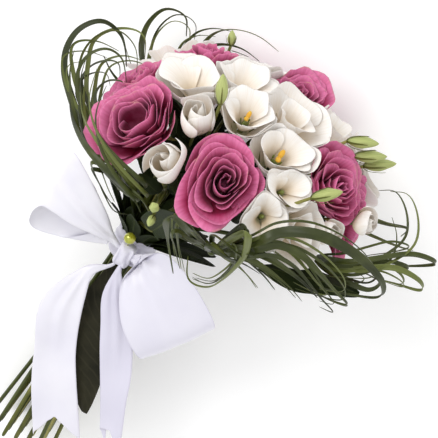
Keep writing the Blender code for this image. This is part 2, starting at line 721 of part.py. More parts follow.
def make_rose_stem(name, bloom, foot, route, collection, material):
    """A rose's stem, widening to the calyx under the bloom, with a star of five sepals."""
    way = foot[:-1] + list(route)
    radii = [STEM_RADIUS] * (len(way) - 1) + [CALYX_RADIUS]
    stem = tube_object(name, way, radii, collection)
    sepals = new_collection(name + "_sepals")
    bm = bmesh.new()
    bmesh.ops.create_cone(bm, cap_ends=True, segments=10, radius1=1.0, radius2=1.0, depth=1.0)
    for vertex in bm.verts:
        x, y, z = vertex.co
        corner = round(math.atan2(y, x) / (math.pi / 5.0))
        reach = SEPAL_LENGTH if corner % 2 == 0 else 0.75 * CALYX_RADIUS
        out = bloom.side * x + bloom.over * y
        drop = 2.0 + 0.3 * reach
        vertex.co = (Vector(route[-1]) + out * reach + bloom.axis * (SEPAL_THICKNESS * z - drop)) * MM
    caps = [face for face in bm.faces if len(face.verts) > 4]
    bmesh.ops.poke(bm, faces=caps)
    add_object(name + "_star", mesh_from(bm, "star"), sepals)
    fuse(stem, sepals)
    stem.data.materials.append(material)


def make_spray(name, foot, members, routes, buds, collection, material):
    """A lisianthus stem that branches above the binding to its blooms and buds."""
    trunk = foot[:-1] + [routes[name][0], routes[name][ROUTE_POINTS // 2], routes[name][-1]]
    stem = tube_object(name, trunk, [STEM_RADIUS] * len(trunk), collection)
    branches = new_collection(name + "_branches")
    for key in members:
        way = list(routes[key])
        tip = CALYX_RADIUS * 0.7 if key in BLOOMS else BRANCH_RADIUS
        radii = [BRANCH_RADIUS] * (len(way) - 1) + [tip]
        tube_object(f"{name}_{key}", way, radii, branches, 0)
    for k, bud in enumerate(buds):
        bud_mesh_object(f"{name}_bud_{k}", *bud, branches)
    fuse(stem, branches)
    stem.data.materials.append(material)


def clear_of_blooms(points, blooms, width, side):
    """Moves a blade's points along the line of sight, side being 1 for nearer, until no bloom covers it."""
    places = [Vector(point) for point in points]
    shifts = [0.0] * len(places)
    margin = 0.5 * width + 1.5
    for _ in range(60):
        wanted = [0.0] * len(places)
        for k in range(2, len(places)):
            for t in (0.25, 0.5, 0.75, 1.0):
                middle = places[k - 1].lerp(places[k], t)
                if any(bloom.covers(middle, margin) > 0.0 for bloom in blooms.values()):
                    wanted[k - 1] = max(wanted[k - 1], 1.0 - t)
                    wanted[k] = max(wanted[k], t)
        for k, share in enumerate(wanted):
            step = min(1.5 * share, BLADE_SHIFT - shifts[k])
            if height(places[k] + NEAR * (side * step)) > 0.6 * width:
                places[k] += NEAR * (side * step)
                shifts[k] += step
    return places


def strip_object(name, points, width, thickness, first_side, collection, shape):
    """A flat strip along a smooth path, its side vector carried along without twist."""
    path = [Vector(point) for point in points]
    sides = []
    side = Vector(first_side)
    for k, point in enumerate(path):
        ahead = (path[min(k + 1, len(path) - 1)] - path[max(k - 1, 0)]).normalized()
        side = (side - ahead * side.dot(ahead)).normalized()
        sides.append(side.copy())
    rows = len(path) - 1

    def place(u, v):
        k = min(int(round(v * rows)), rows)
        return path[k] + sides[k] * (0.5 * width * shape(v) * u)

    mesh = sheet_mesh(place, 1, rows, name)
    return add_sheet(name, mesh, thickness, collection)


def blade_shape(v):
    """A blade's width along its length, narrower at the root and tapering to its tip."""
    return max(0.3, min(1.0, 0.55 + 3.0 * v, 2.6 * (1.06 - v)))


def leaf_shape(v):
    """A leaf's width along its length, pointed at both ends."""
    return max(0.08, math.sin(math.pi * min(1.0, 0.06 + 0.92 * v)) ** 0.75)


def make_grass(name, foot, route, fan, blades, blooms, collection, material):
    """A bunch of grass blades that part from one strand and loop round the flowers."""
    way = foot[:-1] + list(route)
    strand = tube_object(name, way, [STRAND_RADIUS] * len(way), collection, 0)
    loops = new_collection(name + "_blades")
    bm = bmesh.new()
    bmesh.ops.create_uvsphere(bm, u_segments=6, v_segments=4, radius=3.6 * MM)
    bmesh.ops.translate(bm, verts=bm.verts, vec=fan * MM)
    add_object(name + "_joint", mesh_from(bm, "joint"), loops)
    for k, (width, points) in enumerate(blades):
        heading = (seen(*points[0]) - fan).normalized()
        way = [tuple(fan + heading * (0.6 + 0.15 * k))] + [tuple(seen(*point)) for point in points]
        rows = max(7, round(1.4 * len(points)))
        behind = points[0][2] < 0.0
        path = clear_of_blooms(smooth_path(way, rows + 1), blooms, width, -1.0 if behind else 1.0)
        side = (Vector(path[1]) - Vector(path[0])).cross(NEAR)
        wall = BLADE_THICKNESS + BLADE_STEP * k
        strip_object(f"{name}_{k}", path, width, wall, side, loops, blade_shape)
    fuse(strand, loops, "MANIFOLD")
    strand.data.materials.append(material)


def make_leaf(name, foot, route, width, points, side, collection, material):
    """A leaf blade on its stalk."""
    way = foot[:-1] + list(route)
    stalk = tube_object(name, way, [STRAND_RADIUS] * len(way), collection, 0)
    blade = new_collection(name + "_blade")
    path = smooth_path([tuple(point) for point in points], 9)
    strip_object(name + "_sheet", path, width, LEAF_THICKNESS, side, blade, leaf_shape)
    fuse(stalk, blade)
    stalk.data.materials.append(material)


def ribbon_object(name, one_edge, other_edge, collection, material, notch):
    """A ribbon piece between its two edges, with a V cut into its end."""
    rows, columns = 12, 2
    finer = 8
    first = smooth_path([tuple(seen(*point)) for point in one_edge], rows * finer + 1)
    second = smooth_path([tuple(seen(*point)) for point in other_edge], rows * finer + 1)

    def place(u, v):
        reach = v * (1.0 - notch * (1.0 - abs(u)) * v ** 3)
        k = min(int(round(reach * rows * finer)), rows * finer)
        share = 0.5 * (u + 1.0)
        return Vector(first[k]) * (1.0 - share) + Vector(second[k]) * share

    made = add_sheet(name, sheet_mesh(place, columns, rows, name), RIBBON_THICKNESS, collection)
    apply_modifiers(made)
    made.data.materials.append(material)
    return made


def sleeve_object(name, inner, thickness, tall, collection, material):
    """A short plain sleeve round the stems at the waist."""
    bm = bmesh.new()
    middle = inner + 0.5 * thickness
    bmesh.ops.create_cone(bm, cap_ends=False, segments=24, radius1=middle * MM, radius2=middle * MM,
                          depth=tall * MM)
    bmesh.ops.translate(bm, verts=bm.verts, vec=(WAIST - UP * BAND_DROP) * MM)
    made = add_sheet(name, mesh_from(bm, name), thickness, collection)
    apply_modifiers(made)
    made.data.materials.append(material)
    return made


def knot_object(name, place, size, collection, material):
    """The bow's knot, a block with softly rounded edges."""
    bm = bmesh.new()
    bmesh.ops.create_cube(bm, size=2.0)
    for vertex in bm.verts:
        x, y, z = vertex.co
        vertex.co = (place + Vector((x * size[0], y * size[2], z * size[1]))) * MM
    made = add_object(name, mesh_from(bm, name), collection)
    soft = made.modifiers.new("soft", "BEVEL")
    soft.width = KNOT_ROUND * MM
    soft.segments = 3
    apply_modifiers(made)
    made.data.materials.append(material)
    return made


def cylinder_object(name, start, end, radius, sides, collection):
    """A plain cylinder between two points."""
    bm = bmesh.new()
    along = end - start
    bmesh.ops.create_cone(bm, cap_ends=True, segments=sides, radius1=radius * MM, radius2=radius * MM,
                          depth=along.length * MM)
    turn = along.to_track_quat("Z", "Y").to_matrix().to_4x4()
    bmesh.ops.transform(bm, matrix=Matrix.Translation((start + end) * (0.5 * MM)) @ turn, verts=bm.verts)
    return add_object(name, mesh_from(bm, name), collection)


def cut_by(item, cutter):
    """Cuts an object by another with an applied Boolean."""
    cut = item.modifiers.new("cut", "BOOLEAN")
    cut.operation = "DIFFERENCE"
    cut.object = cutter
    cut.solver = "EXACT"
    apply_modifiers(item)


def make_pin(knot, collection, cutters, material):
    """The pearl pin, its shank standing in a plain hole in the knot."""
    pearl = seen(*PIN_PLACE)
    inward = (seen(*KNOT_PLACE) - pearl).normalized()
    hole = cylinder_object("pin_hole_cutter", pearl, pearl + inward * (PIN_LENGTH + 0.4),
                           PIN_RADIUS + CLEAR, 8, cutters)
    hole.hide_render = True
    hole.display_type = "WIRE"
    cut_by(knot, hole)
    bm = bmesh.new()
    bmesh.ops.create_uvsphere(bm, u_segments=12, v_segments=8, radius=PEARL_RADIUS * MM)
    bmesh.ops.translate(bm, verts=bm.verts, vec=pearl * MM)
    pin = add_object("pearl_pin", mesh_from(bm, "pearl_pin"), collection)
    shank = new_collection("pearl_pin_shank")
    cylinder_object("shank", pearl, pearl + inward * PIN_LENGTH, PIN_RADIUS, 6, shank)
    fuse(pin, shank)
    pin.data.materials.append(material)


def plan_stems(blooms):
    """Where every stem, strand and stalk ends, and what it belongs to."""
    goals = {}
    for name, bloom in blooms.items():
        if bloom.kind == "rose":
            goals[name] = (bloom.base - bloom.axis * CLEAR, bloom.axis, name.replace("rose", "rose_stem"), name)
    for spray, (members, buds) in SPRAYS.items():
        for name in members:
            bloom = blooms[name]
            goals[name] = (bloom.base - bloom.axis * CLEAR, bloom.axis, spray, name)
        for k, (place, direction, _, length) in enumerate(buds):
            aim = Vector(direction).normalized()
            goals[f"{spray}_bud_{k}"] = (Vector(place) - aim * (0.45 * length), aim, spray, None)
    for bunch, (fan, _) in GRASS.items():
        goals[bunch] = (seen(*fan), (seen(*fan) - WAIST).normalized(), bunch, None)
    for leaf, (_, points, _) in LEAVES.items():
        start, after = seen(*points[0]), seen(*points[1])
        goals[leaf] = (start.lerp(after, 0.1), (after - start).normalized(), leaf, None)
    return goals


def plan_trunks(goals, feet):
    """The trunk of each spray, from the binding to the point where it branches."""
    trunks = {}
    for spray in SPRAYS:
        ends = [goal[0] for goal in goals.values() if goal[2] == spray]
        middle = sum(ends, Vector()) / len(ends)
        start = feet[spray][-1]
        fork = start + UP * TRUNK_LENGTH + (middle - start) * 0.12
        trunks[spray] = np.array([tuple(start.lerp(fork, t)) for t in np.linspace(0.0, 1.0, ROUTE_POINTS)])
    return trunks


def waist_wishes(goals):
    """Where each stem would like to stand in the binding, from where it goes above."""
    wishes = {}
    for end, _, group, _ in goals.values():
        wishes.setdefault(group, []).append((end.x, end.y))
    scaled = {}
    for group, ends in wishes.items():
        x, y = np.mean(ends, axis=0)
        outer = 30.0 if group in GRASS or group in LEAVES else 15.0
        size = max(math.hypot(x, y), 1.0)
        share = outer * min(size / HEAD_RADIUS + 0.15, 1.1)
        scaled[group] = (share * x / size, share * y / size)
    scaled["leaf_wrap"] = (-2.0, -30.0)
    return scaled


def lay_down(collection, cutters):
    """Lays the bouquet on the floor, cuts what would dip into it flat, and centres it."""
    sine, cosine = math.sin(LAID), math.cos(LAID)
    turn = Matrix(((-1, 0, 0), (0, -sine, -cosine), (0, -cosine, sine))).to_4x4()
    root = bpy.data.objects.new("bouquet_laid_down", None)
    collection.objects.link(root)
    root.matrix_world = Matrix.Translation((0.0, 0.0, FLOOR_DROP * MM)) @ turn
    items = [item for item in collection.objects if item.type == "MESH"]
    for item in items:
        item.parent = root
    bm = bmesh.new()
    bmesh.ops.create_cube(bm, size=1.0)
    floor = add_object("floor_cutter", mesh_from(bm, "floor_cutter"), cutters)
    floor.hide_render = True
    floor.display_type = "WIRE"
    floor.location = (0.0, 0.0, -0.5)
    bpy.context.view_layer.update()
    for item in items:
        if min((item.matrix_world @ vertex.co).z for vertex in item.data.vertices) < 0.0:
            cut_by(item, floor)
    corners = [item.matrix_world @ vertex.co for item in items for vertex in item.data.vertices]
    for axis in (0, 1):
        root.location[axis] -= 0.5 * (min(p[axis] for p in corners) + max(p[axis] for p in corners))
    bpy.context.view_layer.update()


def main():
    """Builds the bouquet and lays it down."""
    clear_scene()
    bouquet = new_collection("bridal_bouquet")
    cutters = new_collection("cutters")
    blooms = {name: Bloom(name, *facts) for name, facts in BLOOMS.items()}
    for name in ("rose_8", "rose_9"):
        blooms[name].settle()
    stalks = bud_stalks()
    for bloom in blooms.values():
        bloom.share_with(list(blooms.values()) + stalks)
    pink = make_material("rose_petal", PINK, 0.6)
    white = make_material("lisianthus_petal", WHITE, 0.6)
    stem_green = make_material("stem", STEM_GREEN, 0.5)
    grass_green = make_material("grass", GRASS_GREEN, 0.4)
    leaf_green = make_material("leaf", LEAF_GREEN, 0.4)
    satin = make_material("satin", SATIN, 0.3)
    tape = make_material("tape", TAPE_GREEN, 0.7)
    gold = make_material("pearl", PEARL_GOLD, 0.2, 0.6)
    for bloom in blooms.values():
        make_bloom(bloom, bouquet, pink if bloom.kind == "rose" else white)

    goals = plan_stems(blooms)
    waist = waist_places(waist_wishes(goals))
    lean = floor_lean(waist)
    feet = {group: below_waist(place, lean) for group, place in waist.items()}
    routes = plan_trunks(goals, feet)
    starts = {group: Vector(routes[group][-1]) if group in routes else foot[-1] for group, foot in feet.items()}
    for key, (end, direction, group, owner) in goals.items():
        routes[key] = first_route(starts[group], end, direction, owner is not None)
    groups = {key: goals[key][2] if key in goals else key for key in routes}
    owners = {key: goals[key][3] if key in goals else None for key in routes}
    routes = part_routes(routes, groups, owners, blooms)

    for name, bloom in blooms.items():
        if bloom.kind == "rose":
            make_rose_stem(groups[name], bloom, feet[groups[name]], routes[name], bouquet, stem_green)
    for spray, (members, buds) in SPRAYS.items():
        keys = list(members) + [f"{spray}_bud_{k}" for k in range(len(buds))]
        make_spray(spray, feet[spray], keys, routes, buds, bouquet, stem_green)
    for bunch, (fan, blades) in GRASS.items():
        make_grass(bunch, feet[bunch], routes[bunch], seen(*fan), blades, blooms, bouquet, grass_green)
    for leaf, (width, points, side) in LEAVES.items():
        places = [seen(*point) for point in points]
        make_leaf(leaf, feet[leaf], routes[leaf], width, places, side, bouquet, leaf_green)
    wrap_way = [seen(*point) for point in WRAP_WAY]
    wrap_foot = [wrap_way[0], WAIST + waist["leaf_wrap"] - UP * (0.5 * STRAIGHT_LENGTH + 2.0), feet["leaf_wrap"][-1]]
    make_leaf("leaf_wrap", wrap_foot, [wrap_foot[-1], wrap_foot[-1] + UP * 6.0], WRAP_WIDTH, wrap_way,
              (1.0, 0.0, 0.0), bouquet, leaf_green)

    girth = max(place.length for place in waist.values()) + STEM_RADIUS + CLEAR
    sleeve_object("stem_tie", girth, 1.0, TIE_HEIGHT, bouquet, tape)
    sleeve_object("ribbon_band", girth + 1.0 + CLEAR, 1.2, BAND_HEIGHT, bouquet, satin)
    knot = knot_object("ribbon_knot", seen(*KNOT_PLACE), KNOT_SIZE, bouquet, satin)
    for name, (one_edge, other_edge) in RIBBON.items():
        notch = TAIL_NOTCH if "tail" in name else 0.0
        ribbon_object(name, one_edge, other_edge, bouquet, satin, notch)
    make_pin(knot, bouquet, cutters, gold)
    lay_down(bouquet, cutters)


main()
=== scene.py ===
"""The look of a hand-tied bridal bouquet of roses, lisianthus and looped lily grass on a pale floor."""

import itertools
import logging
import math
from collections.abc import Callable, Iterator, Sequence
from dataclasses import dataclass, field
from enum import Enum

import bmesh
import bpy
import numpy as np
from mathutils import Matrix, Vector


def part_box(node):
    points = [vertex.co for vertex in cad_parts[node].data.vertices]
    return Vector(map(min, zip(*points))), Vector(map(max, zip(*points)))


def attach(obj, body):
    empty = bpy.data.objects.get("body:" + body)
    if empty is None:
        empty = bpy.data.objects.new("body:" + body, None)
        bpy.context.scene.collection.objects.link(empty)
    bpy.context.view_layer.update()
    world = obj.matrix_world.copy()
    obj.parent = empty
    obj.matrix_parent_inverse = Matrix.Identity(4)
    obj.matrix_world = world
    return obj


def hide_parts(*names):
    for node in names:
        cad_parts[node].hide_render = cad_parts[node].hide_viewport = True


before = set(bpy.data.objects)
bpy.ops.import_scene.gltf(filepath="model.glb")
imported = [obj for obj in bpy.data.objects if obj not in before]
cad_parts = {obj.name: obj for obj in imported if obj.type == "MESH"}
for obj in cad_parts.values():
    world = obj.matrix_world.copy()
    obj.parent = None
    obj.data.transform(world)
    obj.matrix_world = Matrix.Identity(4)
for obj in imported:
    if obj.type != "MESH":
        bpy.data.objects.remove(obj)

LOG = logging.getLogger("bouquet")
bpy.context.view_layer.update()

MM = 0.001
IMAGE_SIZE = 438
HEAD_RADIUS = 122.0
DOME_HEIGHT = 76.0
WAIST = Vector((-36.0, 0.0, -110.0))
VIEW_TILT = math.radians(60.0)
LYING_TILT = math.radians(13.0)
FLOOR_DROP = 104.0
PICTURE_ROLL = math.radians(32.0)
MM_PER_PIXEL = 0.78
SENSOR_WIDTH = 36.0
RIBBON_WIDTH = 50.0
BAND_DROP = 4.0
GATHERED_SHARE = 0.94
FLOOR_GAP = 0.0004
GOLDEN_ANGLE = math.pi * (3.0 - math.sqrt(5.0))
UP = Vector((0.0, 0.0, 1.0))
NEAR = Vector((0.0, -math.sin(VIEW_TILT), math.cos(VIEW_TILT)))
FLOOR_NORMAL = Vector((0.0, -math.cos(LYING_TILT), math.sin(LYING_TILT)))

# The thickness of each kind of sheet, and the radius of a strand and of a spray's branch at its two ends
ROSE_WALL = 0.36
LISIANTHUS_WALL = 0.32
SMALL_LEAF_WALL = 0.6
ROSE_SEPAL_WALL = 0.7
SEPAL_WALL = 0.5
BLADE_WALL = 0.6
LEAF_WALL = 0.7
RIBBON_WALL = 0.35
BAND_WALL = 0.6
STRAND_RADIUS = 1.9
BRANCH_RADII = (1.6, 1.4)

# How much fuller than its solid each kind of bloom is
ROSE_FULLNESS = 1.04
LISIANTHUS_FULLNESS = 1.10

# How the stems are bound, and how far they and the resting roses reach below the floor before they are cut
STEM_RADIUS = 2.1
STEM_PITCH = 4.9
STEM_LENGTH = 205.0
STEM_FLARE = 2.3
STEM_TWIST = math.radians(24.0)
STRAIGHT_LENGTH = 34.0
TRUNK_LENGTH = 26.0
STEM_GAP = 0.35
END_CUT = 1.1
REST_CUT = 2.2

# How the stems' ways are planned: points and samples of a way, how often they are pushed apart, how far a
# blade may be moved, how the stems are packed in the band, and how far out each would like to stand there
ROUTE_POINTS = 8
ROUTE_SAMPLES = 57
ROUTE_ROUNDS = 90
BLADE_SHIFT = 24.0
PACK_ROUNDS = 300
PACK_SQUEEZE = 0.985
REACH_TOGETHER = 7.0
INNER_WISH = 15.0
OUTER_WISH = 30.0
WRAP_WISH = (-2.0, -30.0)

Place = Callable[[float, float], Vector]
Point = tuple[float, float, float]
Socket = bpy.types.NodeSocket
Corner = bmesh.types.BMVert

# Each bloom: kind, middle of its face, radius in millimetres and turn in degrees
BLOOMS = {
    "rose_1": ("rose", (-85, -77, 27), 41, 20),
    "rose_2": ("rose", (1, -105, 38), 43, 50),
    "rose_3": ("rose", (80, -42, 50), 42, 10),
    "rose_4": ("rose", (13, 34, 62), 40, 75),
    "rose_5": ("rose", (-64, 20, 58), 42, 40),
    "rose_6": ("rose", (-101, -17, 24), 38, 5),
    "rose_7": ("rose", (105, -10, 15), 36, 30),
    "rose_8": ("rose", (-44, 90, 22), 39, 15),
    "rose_9": ("rose", (36, 90, 26), 39, 60),
    "lisianthus_1": ("open", (-64, -28, 63), 32, 0),
    "lisianthus_2": ("open", (-32, -4, 72), 32, 30),
    "lisianthus_3": ("open", (-12, -48, 72), 27, 50),
    "lisianthus_4": ("open", (28, -60, 65), 33, 10),
    "lisianthus_5": ("open", (20, -23, 73), 31, 40),
    "lisianthus_6": ("open", (46, -81, 49), 23, 25),
    "lisianthus_7": ("open", (43, -106, 29), 21, 60),
    "lisianthus_8": ("open", (71, -86, 26), 26, 15),
    "lisianthus_9": ("closed", (93, -64, 26), 15, 45),
    "lisianthus_10": ("closed", (-50, -107, 25), 21, 10),
    "lisianthus_11": ("closed", (-47, -70, 58), 20, 70),
    "lisianthus_12": ("open", (-93, 45, 31), 33, 35),
    "lisianthus_13": ("open", (-26, 58, 57), 34, 5),
    "lisianthus_14": ("open", (57, 30, 59), 30, 55),
    "lisianthus_15": ("open", (92, 44, 34), 28, 20),
    "lisianthus_16": ("closed", (113, -37, 36), 14, 65),
    "lisianthus_17": ("open", (84, 78, 8), 29, 30),
    "lisianthus_18": ("open", (-90, 78, 0), 29, 45),
}

# The roses that the bouquet rests on
RESTING = ("rose_8", "rose_9")

# How far a bloom is turned from the dome towards the side that shows
TURNED = {"rose_4": 0.6, "lisianthus_5": 0.25}

# Rings of an open lisianthus: petals, rim out and high, belly out and high, in bloom radii
OPEN_RINGS = ((5, 1.0, -0.06, 0.74, -0.98), (3, 0.80, 0.03, 0.40, -0.66))

# How wide the heart of the more open roses stands, in bloom radii
ROSE_HEARTS = {"rose_1": 0.24, "rose_7": 0.12}

# Lisianthus whose stigma is ripe and shows orange
RIPE_STIGMAS = ("lisianthus_3", "lisianthus_4", "lisianthus_15")

# Blooms that are fuller than usual, and how far a lisianthus has shut its inner petals
FULLNESS = {"rose_1": 1.12, "rose_5": 1.06, "lisianthus_10": 1.2, "lisianthus_11": 1.3}
SHUT = {"lisianthus_5": 0.45, "lisianthus_12": 0.6, "lisianthus_8": 0.55, "lisianthus_14": 0.6}

# How many narrow blades stand beside each blade of a bunch
NEIGHBOURS = {"grass_left": 2, "grass_top": 2, "grass_front": 4, "grass_right": 2, "grass_back": 1}

# How deep in shade each ribbon piece lies
RIBBON_SHADOW = {"ribbon_loop_left": 0.0, "ribbon_loop_right": 0.42, "ribbon_tail_left": 0.2,
                 "ribbon_tail_right": 0.8}

# Lisianthus sprays: the blooms on each stem, and its buds as place, direction, radius and length
SPRAYS = {
    "spray_front_left": (("lisianthus_10", "lisianthus_11"), (
        ((-38, -66, 79), (-0.42, 0.05, 0.9), 5.0, 26),
        ((-34, -122, -6), (-0.2, -1.0, 0.2), 4.0, 9),
        ((-31, -119, -19), (0.1, -1.0, -0.3), 3.2, 13),
    )),
    "spray_top": (("lisianthus_1", "lisianthus_2", "lisianthus_3", "lisianthus_4", "lisianthus_5"), ()),
    "spray_front_right": (
        ("lisianthus_6", "lisianthus_7", "lisianthus_8", "lisianthus_9", "lisianthus_16"), (
            ((70, -86, 61), (0.7, 0.1, 0.7), 5.0, 26),
        )),
    "spray_right": (("lisianthus_14", "lisianthus_15", "lisianthus_17"), (
        ((74, -2, 71), (0.85, 0.15, 0.4), 5.0, 26),
        ((85, 4, 61), (0.85, 0.25, 0.45), 5.0, 27),
        ((95, 14, 54), (0.8, 0.3, 0.5), 5.0, 27),
    )),
    "spray_back": (("lisianthus_12", "lisianthus_13", "lisianthus_18"), (
        ((-57, 56, 61), (-0.45, 0.4, 0.8), 4.5, 20),
    )),
}

# Buds that look smaller than their solids: place, direction, radius and length
SMALL_BUDS = {"spray_back_bud_0": ((-55.6, 54.8, 58.6), (-0.45, 0.4, 0.8), 3.5, 13)}

# Collar leaves: width, way of the midrib as the picture shows it, and which way the sides lie
LEAVES = {
    "leaf_right": (30, ((58, -62, 34), (86, -53, 40), (112, -45, 42), (134, -40, 40)), (0.0, 1.0, 0.25)),
    "leaf_front": (34, ((-28, -84, 40), (-24, -76, 62), (-20, -66, 86), (-17, -60, 100)), (1.0, 0.0, 0.0)),
    "leaf_back": (34, ((-28, -22, -34), (-24, -6, -58), (-18, 6, -80), (-14, 12, -92)), (1.0, 0.0, 0.0)),
}

# The long leaf below the bow
WRAP_WIDTH = 38
WRAP_START = (-41, -119, 26.5)
WRAP_WAY = ((-38, -130, 28), (-36, -146, 31), (-33, -161, 34), (-28, -178, 36), (-16, -208, 38),
            (2, -240, 38))

# Ribbon pieces as two edges, as the picture shows them: to the right, upward, in front of the axis
RIBBON = {
    "ribbon_loop_left": (
        ((-51, -102, 31), (-62, -92, 42), (-78, -81, 50), (-106, -64, 50), (-111, -66, 36), (-104, -74, 24),
         (-78, -94, 22), (-53, -106, 25)),
        ((-51, -110, 31), (-64, -112, 42), (-84, -115, 50), (-114, -114, 50), (-118, -124, 36),
         (-109, -133, 24), (-80, -124, 22), (-53, -112, 25))),
    "ribbon_loop_right": (
        ((-22, -101, 33), (-8, -93, 46), (20, -101, 56), (50, -118, 54), (54, -124, 40), (42, -126, 26),
         (4, -112, 23), (-21, -105, 27)),
        ((-23, -117, 37), (-26, -132, 48), (-10, -158, 56), (12, -173, 52), (19, -172, 40), (17, -158, 27),
         (-4, -132, 23), (-22, -113, 27))),
    "ribbon_tail_left": (
        ((-44, -124, 33), (-60, -136, 40), (-75, -176, 46), (-61, -213, 46), (-48, -242, 44),
         (-24, -282, 40)),
        ((-41, -125, 35), (-50, -139, 44), (-46, -158, 48), (-32, -195, 46), (-15, -222, 44),
         (12, -262, 40))),
    "ribbon_tail_right": (
        ((-38, -126, 34), (-36, -148, 38), (-23, -172, 39), (-4, -206, 39), (8, -226, 38), (22, -252, 36)),
        ((-32, -125, 36), (-14, -144, 40), (-2, -158, 41), (18, -192, 40), (28, -216, 39), (48, -262, 36))),
}

TAIL_NOTCH = 0.12
KNOT_PLACE = (-37, -111, 28.5)
PIN_PLACE = (-40, -98, 34)

# The studio's soft lights: place in metres, size and power
LIGHTS = {
    "key": ((1.1, -0.7, 1.5), 1.2, 18.0),
    "fill": ((-1.3, -0.3, 1.6), 2.2, 5.0),
    "top": ((0.1, 0.7, 2.0), 2.0, 4.0),
}

# Grass bunches: where the blades part from their strand, then each blade's width and its way.
# Places are as seen in the photograph's view: to the right, upward, and how far in front of the axis.
GRASS = {
    "grass_left": ((-74, -56, 48), (
        (6.5, ((-112, -44, 40), (-134, -30, 26), (-154, -10, 14), (-160, 12, 6), (-152, 30, 0),
               (-138, 36, -5), (-122, 28, -12), (-112, 14, -18))),
        (4.0, ((-118, -30, 22), (-138, -2, 4), (-145, 22, -8), (-132, 38, -18), (-113, 42, -26),
               (-104, 28, -30))),
        (3.5, ((-122, -26, 20), (-140, -8, 4), (-133, 6, -6), (-118, 14, -14), (-112, 4, -20))),
        (4.0, ((-116, -34, 30), (-144, -12, 18), (-157, 6, 8), (-146, 18, -4), (-124, 22, -16))),
        (3.5, ((-108, -52, 52), (-130, -34, 44), (-146, -12, 34), (-152, 4, 26))),
        (7.0, ((-48, -66, 92), (-60, -66, 104), (-86, -60, 104), (-108, -52, 90), (-126, -40, 66),
               (-138, -26, 50))),
        (3.5, ((-40, -62, 100), (-60, -57, 116), (-92, -46, 116), (-118, -24, 98), (-126, 0, 78))),
        (3.5, ((-84, -60, 82), (-93, -62, 92), (-76, -76, 88), (-58, -86, 74), (-50, -82, 62))),
        (8.0, ((-64, -66, 90), (-58, -65, 103), (-46, -66, 108), (-36, -71, 104))),
    )),
    "grass_front": ((20, -72, 66), (
        (6.0, ((-10, -66, 96), (-24, -62, 110), (-17, -76, 108), (-6, -90, 98), (4, -102, 88))),
        (6.0, ((30, -50, 104), (36, -46, 122), (42, -64, 120), (36, -90, 104), (24, -101, 94), (10, -96, 86),
               (6, -84, 76))),
        (4.5, ((14, -60, 104), (28, -61, 114), (46, -63, 110), (62, -66, 102), (76, -71, 93))),
        (9.0, ((44, -48, 104), (58, -30, 122), (84, -18, 118), (116, -17, 102), (142, -24, 84),
               (147, -32, 74), (130, -42, 68), (104, -52, 62))),
        (6.0, ((50, -50, 104), (64, -38, 116), (86, -40, 114), (114, -48, 100), (129, -52, 88),
               (118, -55, 80), (96, -57, 72))),
        (7.0, ((34, -60, 105), (50, -54, 120), (73, -53, 114), (92, -55, 104), (106, -59, 93))),
    )),
    "grass_right": ((88, -34, 16), (
        (5.0, ((118, -20, 51), (144, 4, 42), (168, 13, 32), (168, 7, 22), (142, -8, 16), (120, -26, 12))),
        (5.0, ((116, -29, 47), (136, -12, 50), (158, -6, 46), (176, -10, 36), (160, -16, 28),
               (134, -24, 22))),
        (3.0, ((124, -25, 52), (146, 4, 42), (147, 22, 30), (136, 38, 16), (122, 46, 4), (112, 40, -4))),
        (4.5, ((104, -38, 34), (126, -36, 48), (144, -30, 46), (138, -22, 34), (116, -28, 26))),
    )),
    "grass_top": ((-60, 8, -66), (
        (5.5, ((-100, 20, -66), (-116, 40, -62), (-118, 60, -60), (-109, 74, -60), (-96, 74, -62),
               (-88, 62, -66))),
        (3.5, ((-74, 48, -100), (-72, 74, -94), (-60, 86, -86), (-40, 92, -82), (-18, 90, -82))),
        (3.5, ((-84, 40, -94), (-84, 66, -84), (-74, 78, -80), (-58, 84, -76))),
    )),
    "grass_back": ((12, 2, -58), (
        (6.0, ((-26, 10, -78), (-80, 0, -80), (-118, 4, -70), (-136, 14, -54))),
        (6.0, ((50, 14, -84), (90, 12, -82), (128, 20, -64), (146, 26, -42), (140, 16, -26))),
        (4.5, ((60, 4, -70), (104, 4, -66), (138, 8, -44), (154, 12, -20))),
    )),
}


def seen(right: float, up: float, front: float) -> Vector:
    """A point by where the photograph's view shows it.

    Args:
        right: Millimetres to the right of the axis.
        up: Millimetres above the middle of the flowers, in the picture.
        front: Millimetres in front of the axis.

    Returns:
        The point in the bouquet's own frame.
    """
    return Vector((right, -front, (up + math.cos(VIEW_TILT) * front) / math.sin(VIEW_TILT)))


def height(point: Vector) -> float:
    """How high a point of the bouquet's frame is above the floor once the bouquet lies on it."""
    return FLOOR_DROP + FLOOR_NORMAL.dot(point)


def tenths(points: Sequence[Sequence[float]]) -> tuple[Point, ...]:
    """Points to a tenth of a millimetre."""
    return tuple(tuple(round(float(value), 1) for value in point) for point in points)


def smooth_path(points: Sequence[Sequence[float]], count: int, fineness: int = 16) -> list[Vector]:
    """Evenly spaced points on one smooth curve through the given ones.

    Args:
        points: The points to pass through.
        count: How many points to return.
        fineness: How many steps each span is measured in.

    Returns:
        The points of the curve.
    """
    given = [np.array(tuple(point), dtype=float) for point in points]
    padded = [2 * given[0] - given[1]] + given + [2 * given[-1] - given[-2]]
    dense = []
    for a, b, c, d in zip(padded, padded[1:], padded[2:], padded[3:]):
        for t in np.linspace(0.0, 1.0, fineness, endpoint=False):
            dense.append(0.5 * (2 * b + (c - a) * t + (2 * a - 5 * b + 4 * c - d) * t * t
                                + (3 * b - a - 3 * c + d) * t ** 3))
    dense.append(given[-1])
    line = np.array(dense)
    steps = np.concatenate(([0.0], np.cumsum(np.linalg.norm(np.diff(line, axis=0), axis=1))))
    wanted = np.linspace(0.0, steps[-1], count)
    return [Vector(row) for row in np.stack([np.interp(wanted, steps, line[:, k]) for k in range(3)], axis=1)]


